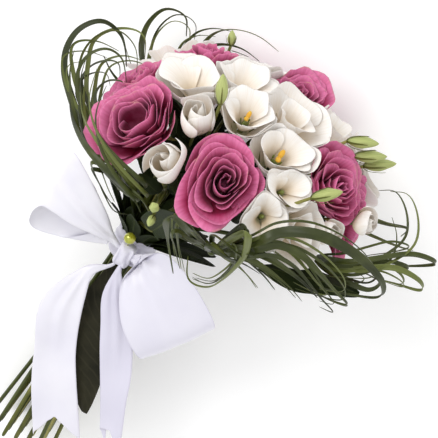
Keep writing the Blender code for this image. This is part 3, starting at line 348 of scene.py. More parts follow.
def frames_along(path: Sequence[Vector], first_side: Vector) -> list[tuple[Vector, Vector]]:
    """Side and face vectors carried along a path without twist.

    Args:
        path: The points of the path.
        first_side: The side vector at its start.

    Returns:
        A side vector and a face vector for each point.
    """
    made = []
    side = first_side.copy()
    for k in range(len(path)):
        ahead = (path[min(k + 1, len(path) - 1)] - path[max(k - 1, 0)]).normalized()
        side = (side - ahead * side.dot(ahead)).normalized()
        made.append((side.copy(), side.cross(ahead)))
    return made


def ease(low: float, high: float, value: float) -> float:
    """A smooth step from 0 at low to 1 at high."""
    t = min(1.0, max(0.0, (value - low) / (high - low)))
    return t * t * (3.0 - 2.0 * t)


def around(count: int, first: float = 0.0) -> Iterator[float]:
    """Angles spread evenly round a circle."""
    return (2.0 * math.pi * k / count + first for k in range(count))


def chance(*keys: float) -> float:
    """A settled number from 0 to 1 for a set of keys, the same on every run."""
    total = sum(key * factor for key, factor in zip(keys, (12.9898, 78.233, 37.719, 4.581)))
    return (math.sin(total + 0.7) * 43758.5453) % 1.0


class Slot(Enum):
    """The record's material slots."""

    ROSE = "rose_petal"
    LISIANTHUS = "lisianthus_petal"
    STEM = "stem"
    GRASS = "grass"
    LEAF = "leaf"
    SATIN = "satin"
    TAPE = "tape"
    PEARL = "pearl"


class Kind(Enum):
    """The kinds of bloom."""

    ROSE = "rose"
    OPEN = "open"
    CLOSED = "closed"

    @property
    def depth(self) -> float:
        """From such a bloom's face down to its base, in its radii."""
        return {Kind.ROSE: 0.82, Kind.OPEN: 1.15, Kind.CLOSED: 1.45}[self]


def faces_at(corners: Sequence[Corner]) -> list[bmesh.types.BMFace]:
    """The faces that meet at some corners."""
    return list({face for corner in corners for face in corner.link_faces})


class Mould:
    """A bmesh in the bouquet's millimetres, with shading marks kept at its corners."""

    def __init__(self) -> None:
        """Starts an empty mould."""
        self.bm = bmesh.new()
        self.marks = self.bm.verts.layers.float_color.new("marks")

    def dress(self, corners: Sequence[Corner], slot: int) -> None:
        """Gives the faces at the corners a material and smooth shading."""
        for face in faces_at(corners):
            face.material_index = slot
            face.smooth = True

    def patch(self, columns: int, rows: int, place: Place, tone: float, slot: int = 0,
              seam: bool = False) -> list[Corner]:
        """Adds a grid whose corners go where place says.

        Args:
            columns: Faces across, along u from -1 to 1.
            rows: Faces along v from 0 to 1.
            place: Gives the point for u and v.
            tone: A shading mark for the whole patch, from 0 to 1.
            slot: The index of its material.
            seam: Whether its two sides meet and its ends close to a point.

        Returns:
            The patch's corners.
        """
        corners = bmesh.ops.create_grid(self.bm, x_segments=columns, y_segments=rows, size=1.0)["verts"]
        for corner in corners:
            u, v = corner.co.x, 0.5 * (corner.co.y + 1.0)
            corner.co = place(u, v)
            corner[self.marks] = (0.5 * (u + 1.0), v, tone, 1.0)
        self.dress(corners, slot)
        if seam:
            bmesh.ops.remove_doubles(self.bm, verts=corners, dist=1e-4)
            corners = [corner for corner in corners if corner.is_valid]
        return corners

    def slab(self, columns: int, rows: int, place: Place, tone: float, thickness: float,
             slot: int = 0) -> None:
        """Adds a patch and gives it a thickness in millimetres."""
        corners = self.patch(columns, rows, place, tone, slot)
        bmesh.ops.solidify(self.bm, geom=faces_at(corners), thickness=thickness)

    def tube(self, path: Sequence[Vector], radius: Callable[[float], float], tone: float, sides: int = 8,
             slot: int = 0) -> None:
        """Adds a closed round tube along a path.

        Args:
            path: The points of the centre line.
            radius: The radius for a share of the length.
            tone: A shading mark, from 0 to 1.
            sides: Faces around.
            slot: The index of its material.
        """
        steep = abs((path[1] - path[0]).normalized().x) < 0.8
        first = Vector((1.0, 0.3, 0.0)) if steep else Vector((0, 1, 0))
        frames = frames_along(path, first)
        rows = len(path) + 1

        def place(u: float, v: float) -> Vector:
            """A point of the tube's skin.

            Args:
                u: Place around, from -1 to 1.
                v: Place along, from 0 to 1.

            Returns:
                The point.
            """
            row = round(v * rows)
            k = min(max(row - 1, 0), len(path) - 1)
            reach = 0.0 if row in (0, rows) else radius(k / (len(path) - 1))
            angle = math.pi * u
            side, face = frames[k]
            return path[k] + (side * math.cos(angle) + face * math.sin(angle)) * reach

        corners = self.patch(sides, rows, place, tone, slot, seam=True)
        bmesh.ops.recalc_face_normals(self.bm, faces=faces_at(corners))

    def ball(self, centre: Vector, axis: Vector, radii: tuple[float, float], tone: float, slot: int = 0,
             sides: int = 14) -> list[Corner]:
        """Adds a round body about an axis.

        Args:
            centre: Its middle.
            axis: The direction of its length.
            radii: Its half thickness and half length.
            tone: A shading mark, from 0 to 1.
            slot: The index of its material.
            sides: Faces around.

        Returns:
            Its corners.
        """
        aim = axis.normalized().to_track_quat("Z", "Y").to_matrix()
        corners = bmesh.ops.create_uvsphere(self.bm, u_segments=sides, v_segments=max(6, sides // 2),
                                            radius=1.0)["verts"]
        for corner in corners:
            x, y, z = corner.co
            corner[self.marks] = (0.5 + 0.5 * math.atan2(y, x) / math.pi, 0.5 * (z + 1.0), tone, 1.0)
            corner.co = centre + aim @ Vector((x * radii[0], y * radii[0], z * radii[1]))
        self.dress(corners, slot)
        return corners


def add_object(name: str, data: bpy.types.ID) -> bpy.types.Object:
    """Adds an object to the scene."""
    made = bpy.data.objects.new(name, data)
    bpy.context.scene.collection.objects.link(made)
    return made


@dataclass(frozen=True)
class Lying:
    """How the bouquet lies: its own millimetres turned and moved to the row frame's metres."""

    tilt: float = LYING_TILT
    drop: float = FLOOR_DROP

    def matrix(self) -> Matrix:
        """The whole placing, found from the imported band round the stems.

        Returns:
            A matrix from the bouquet's millimetres to metres.
        """
        sine, cosine = math.sin(self.tilt), math.cos(self.tilt)
        turn = Matrix(((-1, 0, 0), (0, -sine, -cosine), (0, -cosine, sine)))
        low, high = (Vector(corner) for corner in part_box("ribbon_band"))
        shift = 0.5 * (low + high) - turn @ ((WAIST - UP * BAND_DROP) * MM)
        shift.z = self.drop * MM
        return Matrix.Translation(shift) @ (turn * MM).to_4x4()


class Dressing:
    """One node-based material, and the nodes that go into it."""

    def __init__(self, name: str) -> None:
        """Starts a material.

        Args:
            name: The material's name.
        """
        self.material = bpy.data.materials.new(name)
        self.material.use_nodes = True
        self.tree = self.material.node_tree
        self.shader = self.tree.nodes["Principled BSDF"]

    def node(self, kind: str, **values: float | Point) -> bpy.types.Node:
        """Adds a node and sets its inputs by name."""
        made = self.tree.nodes.new(kind)
        for key, value in values.items():
            made.inputs[key].default_value = value
        return made

    def join(self, source: Socket, target: Socket) -> None:
        """Links two sockets."""
        self.tree.links.new(source, target)

    def set(self, **values: float | Point) -> None:
        """Sets the shader's own sockets, with underscores for the spaces of their names."""
        for key, value in values.items():
            self.shader.inputs[key.replace("_", " ")].default_value = value

    def mark_reader(self) -> bpy.types.Node:
        """A node that reads the marks of a piece."""
        read = self.node("ShaderNodeAttribute")
        read.attribute_name = "marks"
        return read

    def marks(self) -> tuple[Socket, ...]:
        """The across, along and tone marks of a piece."""
        split = self.node("ShaderNodeSeparateColor")
        self.join(self.mark_reader().outputs["Color"], split.inputs["Color"])
        return split.outputs["Red"], split.outputs["Green"], split.outputs["Blue"]

    def sum_up(self, operation: str, *sources: Socket) -> Socket:
        """The result of a sum on one or two factors, such as MULTIPLY or ABSOLUTE."""
        made = self.node("ShaderNodeMath")
        made.operation = operation
        for source, target in zip(sources, made.inputs):
            self.join(source, target)
        return made.outputs[0]

    def from_middle(self, across: Socket) -> Socket:
        """How far a point is from the middle line of its piece, from 0 to 1."""
        return self.sum_up("ABSOLUTE", self.scaled(across, 0.0, 1.0, -1.0, 1.0))

    def ramp(self, factor: Socket, stops: Sequence[tuple[float, Point]]) -> Socket:
        """A colour that runs through the given stops.

        Args:
            factor: What drives it, from 0 to 1.
            stops: Positions and colours.

        Returns:
            The colour's socket.
        """
        made = self.node("ShaderNodeValToRGB")
        band = made.color_ramp.elements
        while len(band) < len(stops):
            band.new(0.5)
        for element, (position, colour) in zip(band, stops):
            element.position = position
            element.color = (*colour, 1.0)
        self.join(factor, made.inputs["Fac"])
        return made.outputs["Color"]

    def noise(self, scale: float, detail: float = 3.0, stretch: Point = (1.0, 1.0, 1.0),
              vector: Socket | None = None) -> Socket:
        """A noise on the piece's own coordinates, or on a given vector.

        Args:
            scale: Its scale.
            detail: Its detail.
            stretch: How it is stretched along each axis.
            vector: What it reads in place of the object's coordinates.

        Returns:
            The factor's socket.
        """
        if vector is None:
            vector = self.node("ShaderNodeTexCoord").outputs["Object"]
        mapping = self.node("ShaderNodeMapping", Scale=stretch)
        self.join(vector, mapping.inputs["Vector"])
        made = self.node("ShaderNodeTexNoise", Scale=scale, Detail=detail)
        self.join(mapping.outputs["Vector"], made.inputs["Vector"])
        return made.outputs["Fac"]

    def mark_vector(self) -> Socket:
        """The marks as a vector, for patterns that follow the surface."""
        return self.mark_reader().outputs["Vector"]

    def blend(self, factor: Socket | float, one: Socket | Point, two: Socket | Point) -> Socket:
        """Mixes two colours.

        Args:
            factor: The share of the second.
            one: The first colour.
            two: The second colour.

        Returns:
            The mixed colour's socket.
        """
        made = self.node("ShaderNodeMix")
        made.data_type = "RGBA"
        for value, key in ((factor, 0), (one, 6), (two, 7)):
            if isinstance(value, Socket):
                self.join(value, made.inputs[key])
            elif key == 0:
                made.inputs[key].default_value = value
            else:
                made.inputs[key].default_value = (*value, 1.0)
        return made.outputs[2]

    def scaled(self, factor: Socket, low: float, high: float, to_low: float,
               to_high: float) -> Socket:
        """Maps a factor from one range to another."""
        made = self.node("ShaderNodeMapRange")
        for key, value in zip(("From Min", "From Max", "To Min", "To Max"), (low, high, to_low, to_high)):
            made.inputs[key].default_value = value
        self.join(factor, made.inputs["Value"])
        return made.outputs["Result"]

    def colour(self, source: Socket) -> None:
        """Puts a colour on the shader."""
        self.join(source, self.shader.inputs["Base Color"])

    def bump(self, source: Socket, strength: float, distance: float) -> None:
        """Puts a relief on the shader.

        Args:
            source: The height.
            strength: Its strength.
            distance: Its depth in metres.
        """
        made = self.node("ShaderNodeBump", Strength=strength, Distance=distance)
        self.join(source, made.inputs["Height"])
        self.join(made.outputs["Normal"], self.shader.inputs["Normal"])


@dataclass(frozen=True)
class RosePetalFinish:
    """Dusky pink petals with painted shade that darkens to deep red towards each petal's root, between the
    petals and in the heart, a rim painted lighter as a highlight, and a bruised tan edge.
    """

    # foot and deep are painted shade colours for the petals' roots, the gaps between petals and the heart;
    # light is the rim's pink, painted lighter as a highlight.
    foot: Point = (0.07, 0.001, 0.008)
    body: Point = (0.57, 0.044, 0.165)
    light: Point = (0.74, 0.20, 0.39)
    edge: Point = (0.60, 0.27, 0.26)
    deep: Point = (0.33, 0.005, 0.042)

    def material(self) -> bpy.types.Material:
        """Makes the finish."""
        d = Dressing("rose_petal_look")
        _, along, tone = d.marks()
        # Painted shade and highlight: from root to rim the colour runs from near-black red through deep red
        # and body pink to the lighter rim.
        length = d.ramp(along, ((0.0, self.foot), (0.36, self.deep), (0.66, self.body), (0.92, self.light),
                                (1.0, self.light)))
        veins = d.noise(1.0, 2.0, (34.0, 2.2, 7.0), d.mark_vector())
        veined = d.blend(d.scaled(veins, 0.40, 0.72, 0.0, 0.30), length, self.deep)
        # Painted shade in the heart: by their tone, the inner petals darken towards the foot colour below
        # their rims.
        heart_shade = d.sum_up("MULTIPLY", d.scaled(along, 0.80, 1.0, 1.0, 0.0), tone)
        heart = d.blend(heart_shade, veined, self.foot)
        mottle = d.noise(70.0, 4.0)
        clouded = d.blend(d.scaled(mottle, 0.45, 0.75, 0.0, 0.30), heart, self.light)
        rim = d.scaled(along, 0.955, 0.995, 0.0, 1.0)
        browning = d.sum_up("MULTIPLY", rim, d.scaled(d.noise(90.0, 3.0), 0.50, 0.68, 0.0, 0.8))
        d.colour(d.blend(browning, clouded, self.edge))
        d.bump(veins, 0.2, 0.0004)
        d.set(Roughness=0.6, Sheen_Weight=0.08, Sheen_Roughness=0.4, Specular_IOR_Level=0.15,
              Subsurface_Weight=0.12, Subsurface_Scale=0.003, Subsurface_Radius=(1.0, 0.5, 0.6))
        return d.material


@dataclass(frozen=True)
class LisianthusPetalFinish:
    """Warm white petals with an olive throat, beige and cream lower down the cup that are partly the throat's
    own colour and partly painted shade, and a faint warm painted glow.
    """

    throat: Point = (0.22, 0.21, 0.06)
    beige: Point = (0.66, 0.52, 0.34)
    cream: Point = (0.83, 0.75, 0.65)
    white: Point = (0.88, 0.855, 0.83)

    def material(self) -> bpy.types.Material:
        """Makes the finish."""
        d = Dressing("lisianthus_petal_look")
        _, along, tone = d.marks()
        # The beige and cream below the white are partly the throat's own colour and partly painted shade down
        # the cup.
        length = d.ramp(along, ((0.0, self.throat), (0.12, self.throat), (0.30, self.beige),
                                (0.58, self.cream), (0.90, self.white)))
        veins = d.noise(1.0, 2.0, (60.0, 2.0, 5.0), d.mark_vector())
        tint = d.blend(d.scaled(veins, 0.45, 0.75, 0.0, 0.22), length, self.beige)
        d.colour(d.blend(d.scaled(tone, 0.0, 1.0, 0.0, 0.3), tint, self.beige))
        d.bump(veins, 0.3, 0.0005)
        # The faint warm emission is a painted glow that lifts the petals' shade.
        d.set(Roughness=0.65, Sheen_Weight=0.1, Specular_IOR_Level=0.12, Subsurface_Weight=0.15,
              Subsurface_Scale=0.004, Subsurface_Radius=(1.0, 0.95, 0.9), Emission_Strength=0.03,
              Emission_Color=(1.0, 0.93, 0.84, 1.0))
        return d.material


@dataclass(frozen=True)
class GreenFinish:
    """A green plant surface with long streaks and a tint that changes from piece to piece."""

    name: str
    dark: Point
    middle: Point
    pale: Point
    roughness: float
    streaks: Point = (40.0, 1.5, 9.0)
    gloss: float = 0.0

    def material(self) -> bpy.types.Material:
        """Makes the finish."""
        d = Dressing(self.name)
        tone = d.marks()[2]
        tint = d.ramp(tone, ((0.0, self.dark), (0.5, self.middle), (1.0, self.pale)))
        lines = d.noise(1.0, 3.0, self.streaks, d.mark_vector())
        lined = d.blend(d.scaled(lines, 0.35, 0.7, 0.0, 0.5), tint, self.dark)
        cloud = d.noise(35.0, 3.0)
        d.colour(d.blend(d.scaled(cloud, 0.45, 0.75, 0.0, 0.28), lined, self.pale))
        d.bump(lines, 0.35, 0.0004)
        d.set(Roughness=self.roughness, Specular_IOR_Level=0.3, Coat_Weight=self.gloss, Coat_Roughness=0.3)
        return d.material


@dataclass(frozen=True)
class LeafFinish:
    """A dark waxy leaf with a pale midrib and fine slanting veins."""

    name: str = "leaf_look"
    dark: Point = (0.005, 0.010, 0.002)
    light: Point = (0.022, 0.036, 0.008)
    rib: Point = (0.075, 0.095, 0.025)
    midrib: float = 0.8
    two_sided: bool = True
    veins: float = 6.5

    def material(self) -> bpy.types.Material:
        """Makes the finish."""
        d = Dressing(self.name)
        across, along, _ = d.marks()
        fold = d.from_middle(across)
        slant = d.node("ShaderNodeCombineXYZ")
        d.join(fold if self.two_sided else across, slant.inputs["X"])
        d.join(along, slant.inputs["Y"])
        turn = d.node("ShaderNodeMapping", Rotation=(0.0, 0.0, math.radians(-38.0)), Scale=(1.0, 3.2, 1.0))
        d.join(slant.outputs[0], turn.inputs["Vector"])
        wave = d.node("ShaderNodeTexWave", Scale=self.veins, Distortion=1.6, Detail=2.0)
        wave.bands_direction = "Y"
        d.join(turn.outputs[0], wave.inputs["Vector"])
        cloud = d.noise(40.0, 4.0)
        ground = d.blend(d.scaled(cloud, 0.3, 0.75, 0.0, 1.0), self.dark, self.light)
        veined = d.blend(d.scaled(wave.outputs["Fac"], 0.82, 1.0, 0.0, 0.45), ground, self.rib)
        d.colour(d.blend(d.scaled(fold, 0.0, 0.07, self.midrib, 0.0), veined, self.rib))
        d.bump(wave.outputs["Fac"], 0.4, 0.0005)
        d.set(Roughness=0.6, Specular_IOR_Level=0.12)
        return d.material


@dataclass(frozen=True)
class SatinFinish:
    """White satin with a cool lavender painted shade, deeper on some pieces and in soft patches, a fine weft
    and woven edges.
    """

    white: Point = (0.82, 0.81, 0.86)
    shade: Point = (0.62, 0.60, 0.72)

    def material(self) -> bpy.types.Material:
        """Makes the finish."""
        d = Dressing("satin_look")
        across, _, tone = d.marks()
        weft = d.noise(1.0, 2.0, (3.0, 420.0, 1.0), d.mark_vector())
        # Painted shade: the piece's shadow mark and soft noise patches blend the white towards the lavender
        # shade.
        sweep = d.noise(28.0, 2.0)
        toned = d.blend(tone, self.white, self.shade)
        cloth = d.blend(d.scaled(sweep, 0.35, 0.7, 0.0, 0.35), toned, self.shade)
        edge = d.scaled(d.from_middle(across), 0.955, 0.975, 0.0, 0.35)
        d.colour(d.blend(edge, cloth, self.shade))
        d.bump(weft, 0.08, 0.0002)
        d.set(Roughness=0.32, Sheen_Weight=0.3, Sheen_Roughness=0.3, Specular_IOR_Level=0.55,
              Anisotropic=0.5)
        return d.material


@dataclass(frozen=True)
class SpotFinish:
    """A small plain part: its colour with a slight cloud in it."""

    name: str
    one: Point
    two: Point
    roughness: float
    metallic: float = 0.0
    coat: float = 0.0

    def material(self) -> bpy.types.Material:
        """Makes the finish."""
        d = Dressing(self.name)
        d.colour(d.blend(d.scaled(d.noise(160.0, 3.0), 0.3, 0.7, 0.0, 1.0), self.one, self.two))
        d.set(Roughness=self.roughness, Metallic=self.metallic, Coat_Weight=self.coat, Coat_Roughness=0.08)
        return d.material


@dataclass
class Finishes:
    """Every finish of the bouquet, made once."""

    rose: bpy.types.Material = field(default_factory=RosePetalFinish().material)
    lisianthus: bpy.types.Material = field(default_factory=LisianthusPetalFinish().material)
    stem: bpy.types.Material = field(default_factory=GreenFinish(
        "stem_look", (0.035, 0.045, 0.007), (0.13, 0.14, 0.018), (0.44, 0.40, 0.12), 0.5).material)
    bud: bpy.types.Material = field(default_factory=GreenFinish(
        "bud_look", (0.13, 0.19, 0.035), (0.30, 0.37, 0.09), (0.60, 0.62, 0.27), 0.5).material)
    grass: bpy.types.Material = field(default_factory=GreenFinish(
        "grass_look", (0.016, 0.022, 0.003), (0.055, 0.070, 0.008), (0.18, 0.21, 0.05), 0.40,
        (30.0, 0.6, 11.0), 0.12).material)
    leaf: bpy.types.Material = field(default_factory=LeafFinish().material)
    wrap_leaf: bpy.types.Material = field(default_factory=LeafFinish(
        "wrap_leaf_look", (0.011, 0.011, 0.006), (0.037, 0.034, 0.018), (0.036, 0.033, 0.019), 0.0,
        False, 1.7).material)
    satin: bpy.types.Material = field(default_factory=SatinFinish().material)
    stigma: bpy.types.Material = field(default_factory=SpotFinish(
        "stigma_look", (0.80, 0.36, 0.02), (0.72, 0.50, 0.05), 0.6).material)
    ovary: bpy.types.Material = field(default_factory=SpotFinish(
        "ovary_look", (0.11, 0.15, 0.03), (0.21, 0.26, 0.06), 0.5).material)
    tape: bpy.types.Material = field(default_factory=SpotFinish(
        "tape_look", (0.10, 0.16, 0.06), (0.14, 0.20, 0.09), 0.7).material)
    pearl: bpy.types.Material = field(default_factory=SpotFinish(
        "pearl_look", (0.50, 0.47, 0.03), (0.36, 0.40, 0.03), 0.16, 0.35, 1.0).material)


@dataclass
class Workshop:
    """Finishes moulds as pieces of the scene."""

    finishes: Finishes
    laid: Matrix

    def finish(self, name: str, mould: Mould, materials: Sequence[bpy.types.Material], slot: Slot,
               nodes: Sequence[str] = (), wall: float = 0.0, smooth: int = 0) -> bpy.types.Object:
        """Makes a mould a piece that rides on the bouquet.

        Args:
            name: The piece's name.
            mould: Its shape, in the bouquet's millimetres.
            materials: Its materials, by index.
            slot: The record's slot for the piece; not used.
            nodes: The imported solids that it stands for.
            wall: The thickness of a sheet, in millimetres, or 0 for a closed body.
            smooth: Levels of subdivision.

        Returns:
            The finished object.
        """
        mould.bm.transform(self.laid)
        for corner in mould.bm.verts:
            corner.co.z = max(corner.co.z, FLOOR_GAP + 0.5 * wall * MM)
        mesh = bpy.data.meshes.new(name)
        mould.bm.to_mesh(mesh)
        mould.bm.free()
        for material in materials:
            mesh.materials.append(material)
        piece = add_object(name, mesh)
        if wall:
            sheet = piece.modifiers.new("wall", "SOLIDIFY")
            sheet.thickness = wall * MM
            sheet.offset = 0.0
        if smooth:
            soft = piece.modifiers.new("soft", "SUBSURF")
            soft.levels = smooth
            soft.render_levels = smooth
        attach(piece, "root")
        if nodes:
            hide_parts(*nodes)
        LOG.info("%s: %d faces before its modifiers", name, len(mesh.polygons))
        return piece


@dataclass
class Bloom:
    """One bloom's place and axes, and the room that its neighbours leave it."""

    name: str
    kind: Kind
    place: Vector
    radius: float
    turn: float
    limits: list[tuple[Vector, float]] = field(default_factory=list)
    axis: Vector = field(init=False)
    side: Vector = field(init=False)
    over: Vector = field(init=False)

    def __post_init__(self) -> None:
        """Turns the bloom's axis square to the dome."""
        x, y, z = self.place
        out = Vector((x / HEAD_RADIUS ** 2, y / HEAD_RADIUS ** 2, max(z, 14.0) / DOME_HEIGHT ** 2))
        self.axis = (out.normalized() + NEAR * TURNED.get(self.name, 0.0)).normalized()
        self.side = (Vector((1.0, 0.0, 0.0)) - self.axis.x * self.axis).normalized()
        self.over = self.axis.cross(self.side)

    @property
    def depth(self) -> float:
        """From the bloom's face down to its base."""
        return self.kind.depth * self.radius

    @property
    def foot(self) -> Vector:
        """Where its stem ends, just below its base."""
        return self.place - self.axis * self.depth - self.axis * STEM_GAP

    def settle(self) -> None:
        """Moves the bloom so that its outer petals would dip just under the floor."""
        rim = self.place - self.axis * (0.28 * self.radius)
        reach = self.radius * math.sqrt(1.0 - self.axis.dot(FLOOR_NORMAL) ** 2)
        self.place = self.place - FLOOR_NORMAL * (height(rim) - reach + REST_CUT)

    def near(self, points: np.ndarray) -> np.ndarray:
        """The numbers of the points that are near enough for the bloom to cover them."""
        distances = np.linalg.norm(points - np.array(self.place), axis=1)
        return np.flatnonzero(distances < 1.2 * (self.radius + self.depth))

    def covers(self, point: Sequence[float], margin: float) -> bool:
        """Whether a point is inside the bloom's rough outline, widened by a margin."""
        offset = Vector(point) - self.place
        z = offset.dot(self.axis)
        rho = (offset - self.axis * z).length
        half = 0.5 * self.depth + 0.10 * self.radius + margin
        middle = -0.5 * self.depth + 0.04 * self.radius
        return 1.0 - (rho / (1.04 * self.radius + margin)) ** 4 - ((z - middle) / half) ** 4 > 0.0

    def middle(self) -> Vector:
        """The point from which the shares between neighbours are measured."""
        return self.place - self.axis * (0.35 * self.radius)

    def share_with(self, others: Sequence["Bloom"]) -> None:
        """Finds the planes midway, by size, between this bloom and each neighbour."""
        for other in others:
            between = other.middle() - self.middle()
            distance = between.length
            if other is not self and distance < self.radius + other.radius + 4.0:
                share = distance * self.radius / (self.radius + other.radius)
                self.limits.append((between / distance, share + 1.2))

    def put(self, rho: float, phi: float, z: float) -> Vector:
        """A point given about the bloom's own axis, drawn in where a neighbour needs the room.

        Args:
            rho: Its distance from the axis.
            phi: Its angle about the axis.
            z: Its height along the axis from the bloom's face.

        Returns:
            The point in the bouquet's frame.
        """
        angle = phi + self.turn
        out = self.side * math.cos(angle) + self.over * math.sin(angle)
        centre = self.place + self.axis * z
        crowd = 1.0
        for direction, limit in self.limits:
            reach = direction.dot(out) * max(rho, 1.02 * self.radius)
            if reach > 0.0:
                room = max(limit - direction.dot(centre - self.middle()), 0.08 * self.radius)
                crowd += (reach / room) ** 11
        return centre + out * (rho * crowd ** (-1.0 / 11.0))


@dataclass(frozen=True)
class Petal:
    """One petal about its bloom's axis, in bloom radii: outs and heights of its root, belly and rim."""

    root: tuple[float, float]
    belly: tuple[float, float]
    rim: tuple[float, float]
    heading: float
    half_angle: float
    spiral: float = 0.07
    curl: float = 0.0
    ruffle: float = 0.02
    waves: float = 2.0
    tip: float = 0.0
    tone: float = 0.0

    def place(self, bloom: Bloom, u: float, v: float) -> Vector:
        """A point of the petal.

        Args:
            bloom: The bloom it grows on.
            u: Across, from -1 to 1.
            v: Along, from 0 at its root to 1 at its rim.

        Returns:
            The point in the bouquet's frame.
        """
        w = v * (1.0 - 0.19 * abs(u) ** 2.8 * v)
        keep, turn, rise = (1.0 - w) ** 2, 2.0 * w * (1.0 - w), w * w
        out = keep * self.root[0] + turn * self.belly[0] + rise * self.rim[0]
        high = keep * self.root[1] + turn * self.belly[1] + rise * self.rim[1]
        grown = min(1.0, 1.7 * w)
        half = math.radians(self.half_angle) * (0.55 + 0.45 * grown)
        uneven = 1.0 + 0.5 * math.sin(2.2 * u + 7.0 * self.heading)
        rolled = max(0.0, (w - 0.64) / 0.36) ** 1.7 * self.curl * uneven
        wave = math.sin(self.waves * math.pi * u + 5.0 * self.heading) * self.ruffle * w ** 4
        crease = 0.014 * math.sin(11.0 * u + 3.0 * self.heading) * w ** 6
        point = self.tip * math.exp(-(u / 0.16) ** 2) * w ** 8
        rho = out + 0.12 * rolled + self.spiral * u * grown + 0.55 * wave + crease + 0.5 * point
        high += wave - 0.12 * rolled + point * (0.4 - self.curl)
        return bloom.put(bloom.radius * max(rho, 0.012), self.heading + u * half, bloom.radius * high)


@dataclass
class RoseLook:
    """A rose: its petals wound from a tight heart to the rolled outer ones."""

    bloom: Bloom
    petals: int = 20
    heart: float = 0.055

    def petal(self, k: int) -> Petal:
        """The k-th petal from the heart outwards."""
        t = k / (self.petals - 1)
        seed = self.bloom.turn * 3.0 + k
        open_heart = self.heart - 0.06
        r = self.heart + (0.94 - self.heart) * t ** 0.95
        lift = 0.09 * (chance(seed, 1.0) - 0.5)
        dimple = (0.09 + 1.75 * open_heart) * math.exp(-(r / 0.26) ** 2)
        opening = ease(0.12, 0.65, t)
        tuck = 0.10 * (1.0 - ease(0.0, 0.4, t))
        # Painted shade: the inner petals, and more so in the open hearts, get a tone that darkens them in the
        # finish.
        heart_shade = max(0.0, 1.12 - 1.25 * r) + 0.14 * chance(seed, 6.0)
        return Petal(
            root=(min(0.10 + 0.10 * r, 0.80 * r), -0.50 - 0.16 * r),
            belly=(r * (0.98 - 0.08 * opening) + tuck, -0.34 - 0.36 * r),
            rim=(r * (1.0 + 0.07 * (chance(seed, 7.0) - 0.5)), 0.10 - dimple - 0.22 * r * r + lift),
            heading=k * GOLDEN_ANGLE + 0.6 * (chance(seed, 2.0) - 0.5),
            half_angle=64.0 + 36.0 * (1.0 - t) ** 2 + 14.0 * (chance(seed, 3.0) - 0.5),
            spiral=0.045 + 0.035 * t,
            curl=0.12 + opening * (0.55 + 1.0 * chance(seed, 4.0)),
            ruffle=0.030 + 0.040 * t,
            waves=1.6 + 2.6 * chance(seed, 5.0),
            tip=0.02 * opening,
            tone=min(1.0, heart_shade) * (0.68 + 1.7 * open_heart),
        )

    def build(self, workshop: Workshop) -> None:
        """Makes the rose."""
        mould = Mould()
        for k in range(self.petals):
            petal = self.petal(k)
            mould.patch(10, 7, lambda u, v: petal.place(self.bloom, u, v), petal.tone)
        # A core fills the heart; its tone of 1 paints it mostly in the dark heart shade.
        core = self.bloom.put(0.0, 0.0, -0.58 * self.bloom.radius)
        mould.ball(core, self.bloom.axis, (0.14 * self.bloom.radius, 0.22 * self.bloom.radius), 1.0, sides=10)
        workshop.finish(f"{self.bloom.name}_bloom", mould, [workshop.finishes.rose], Slot.ROSE,
                        [self.bloom.name], wall=ROSE_WALL, smooth=1)


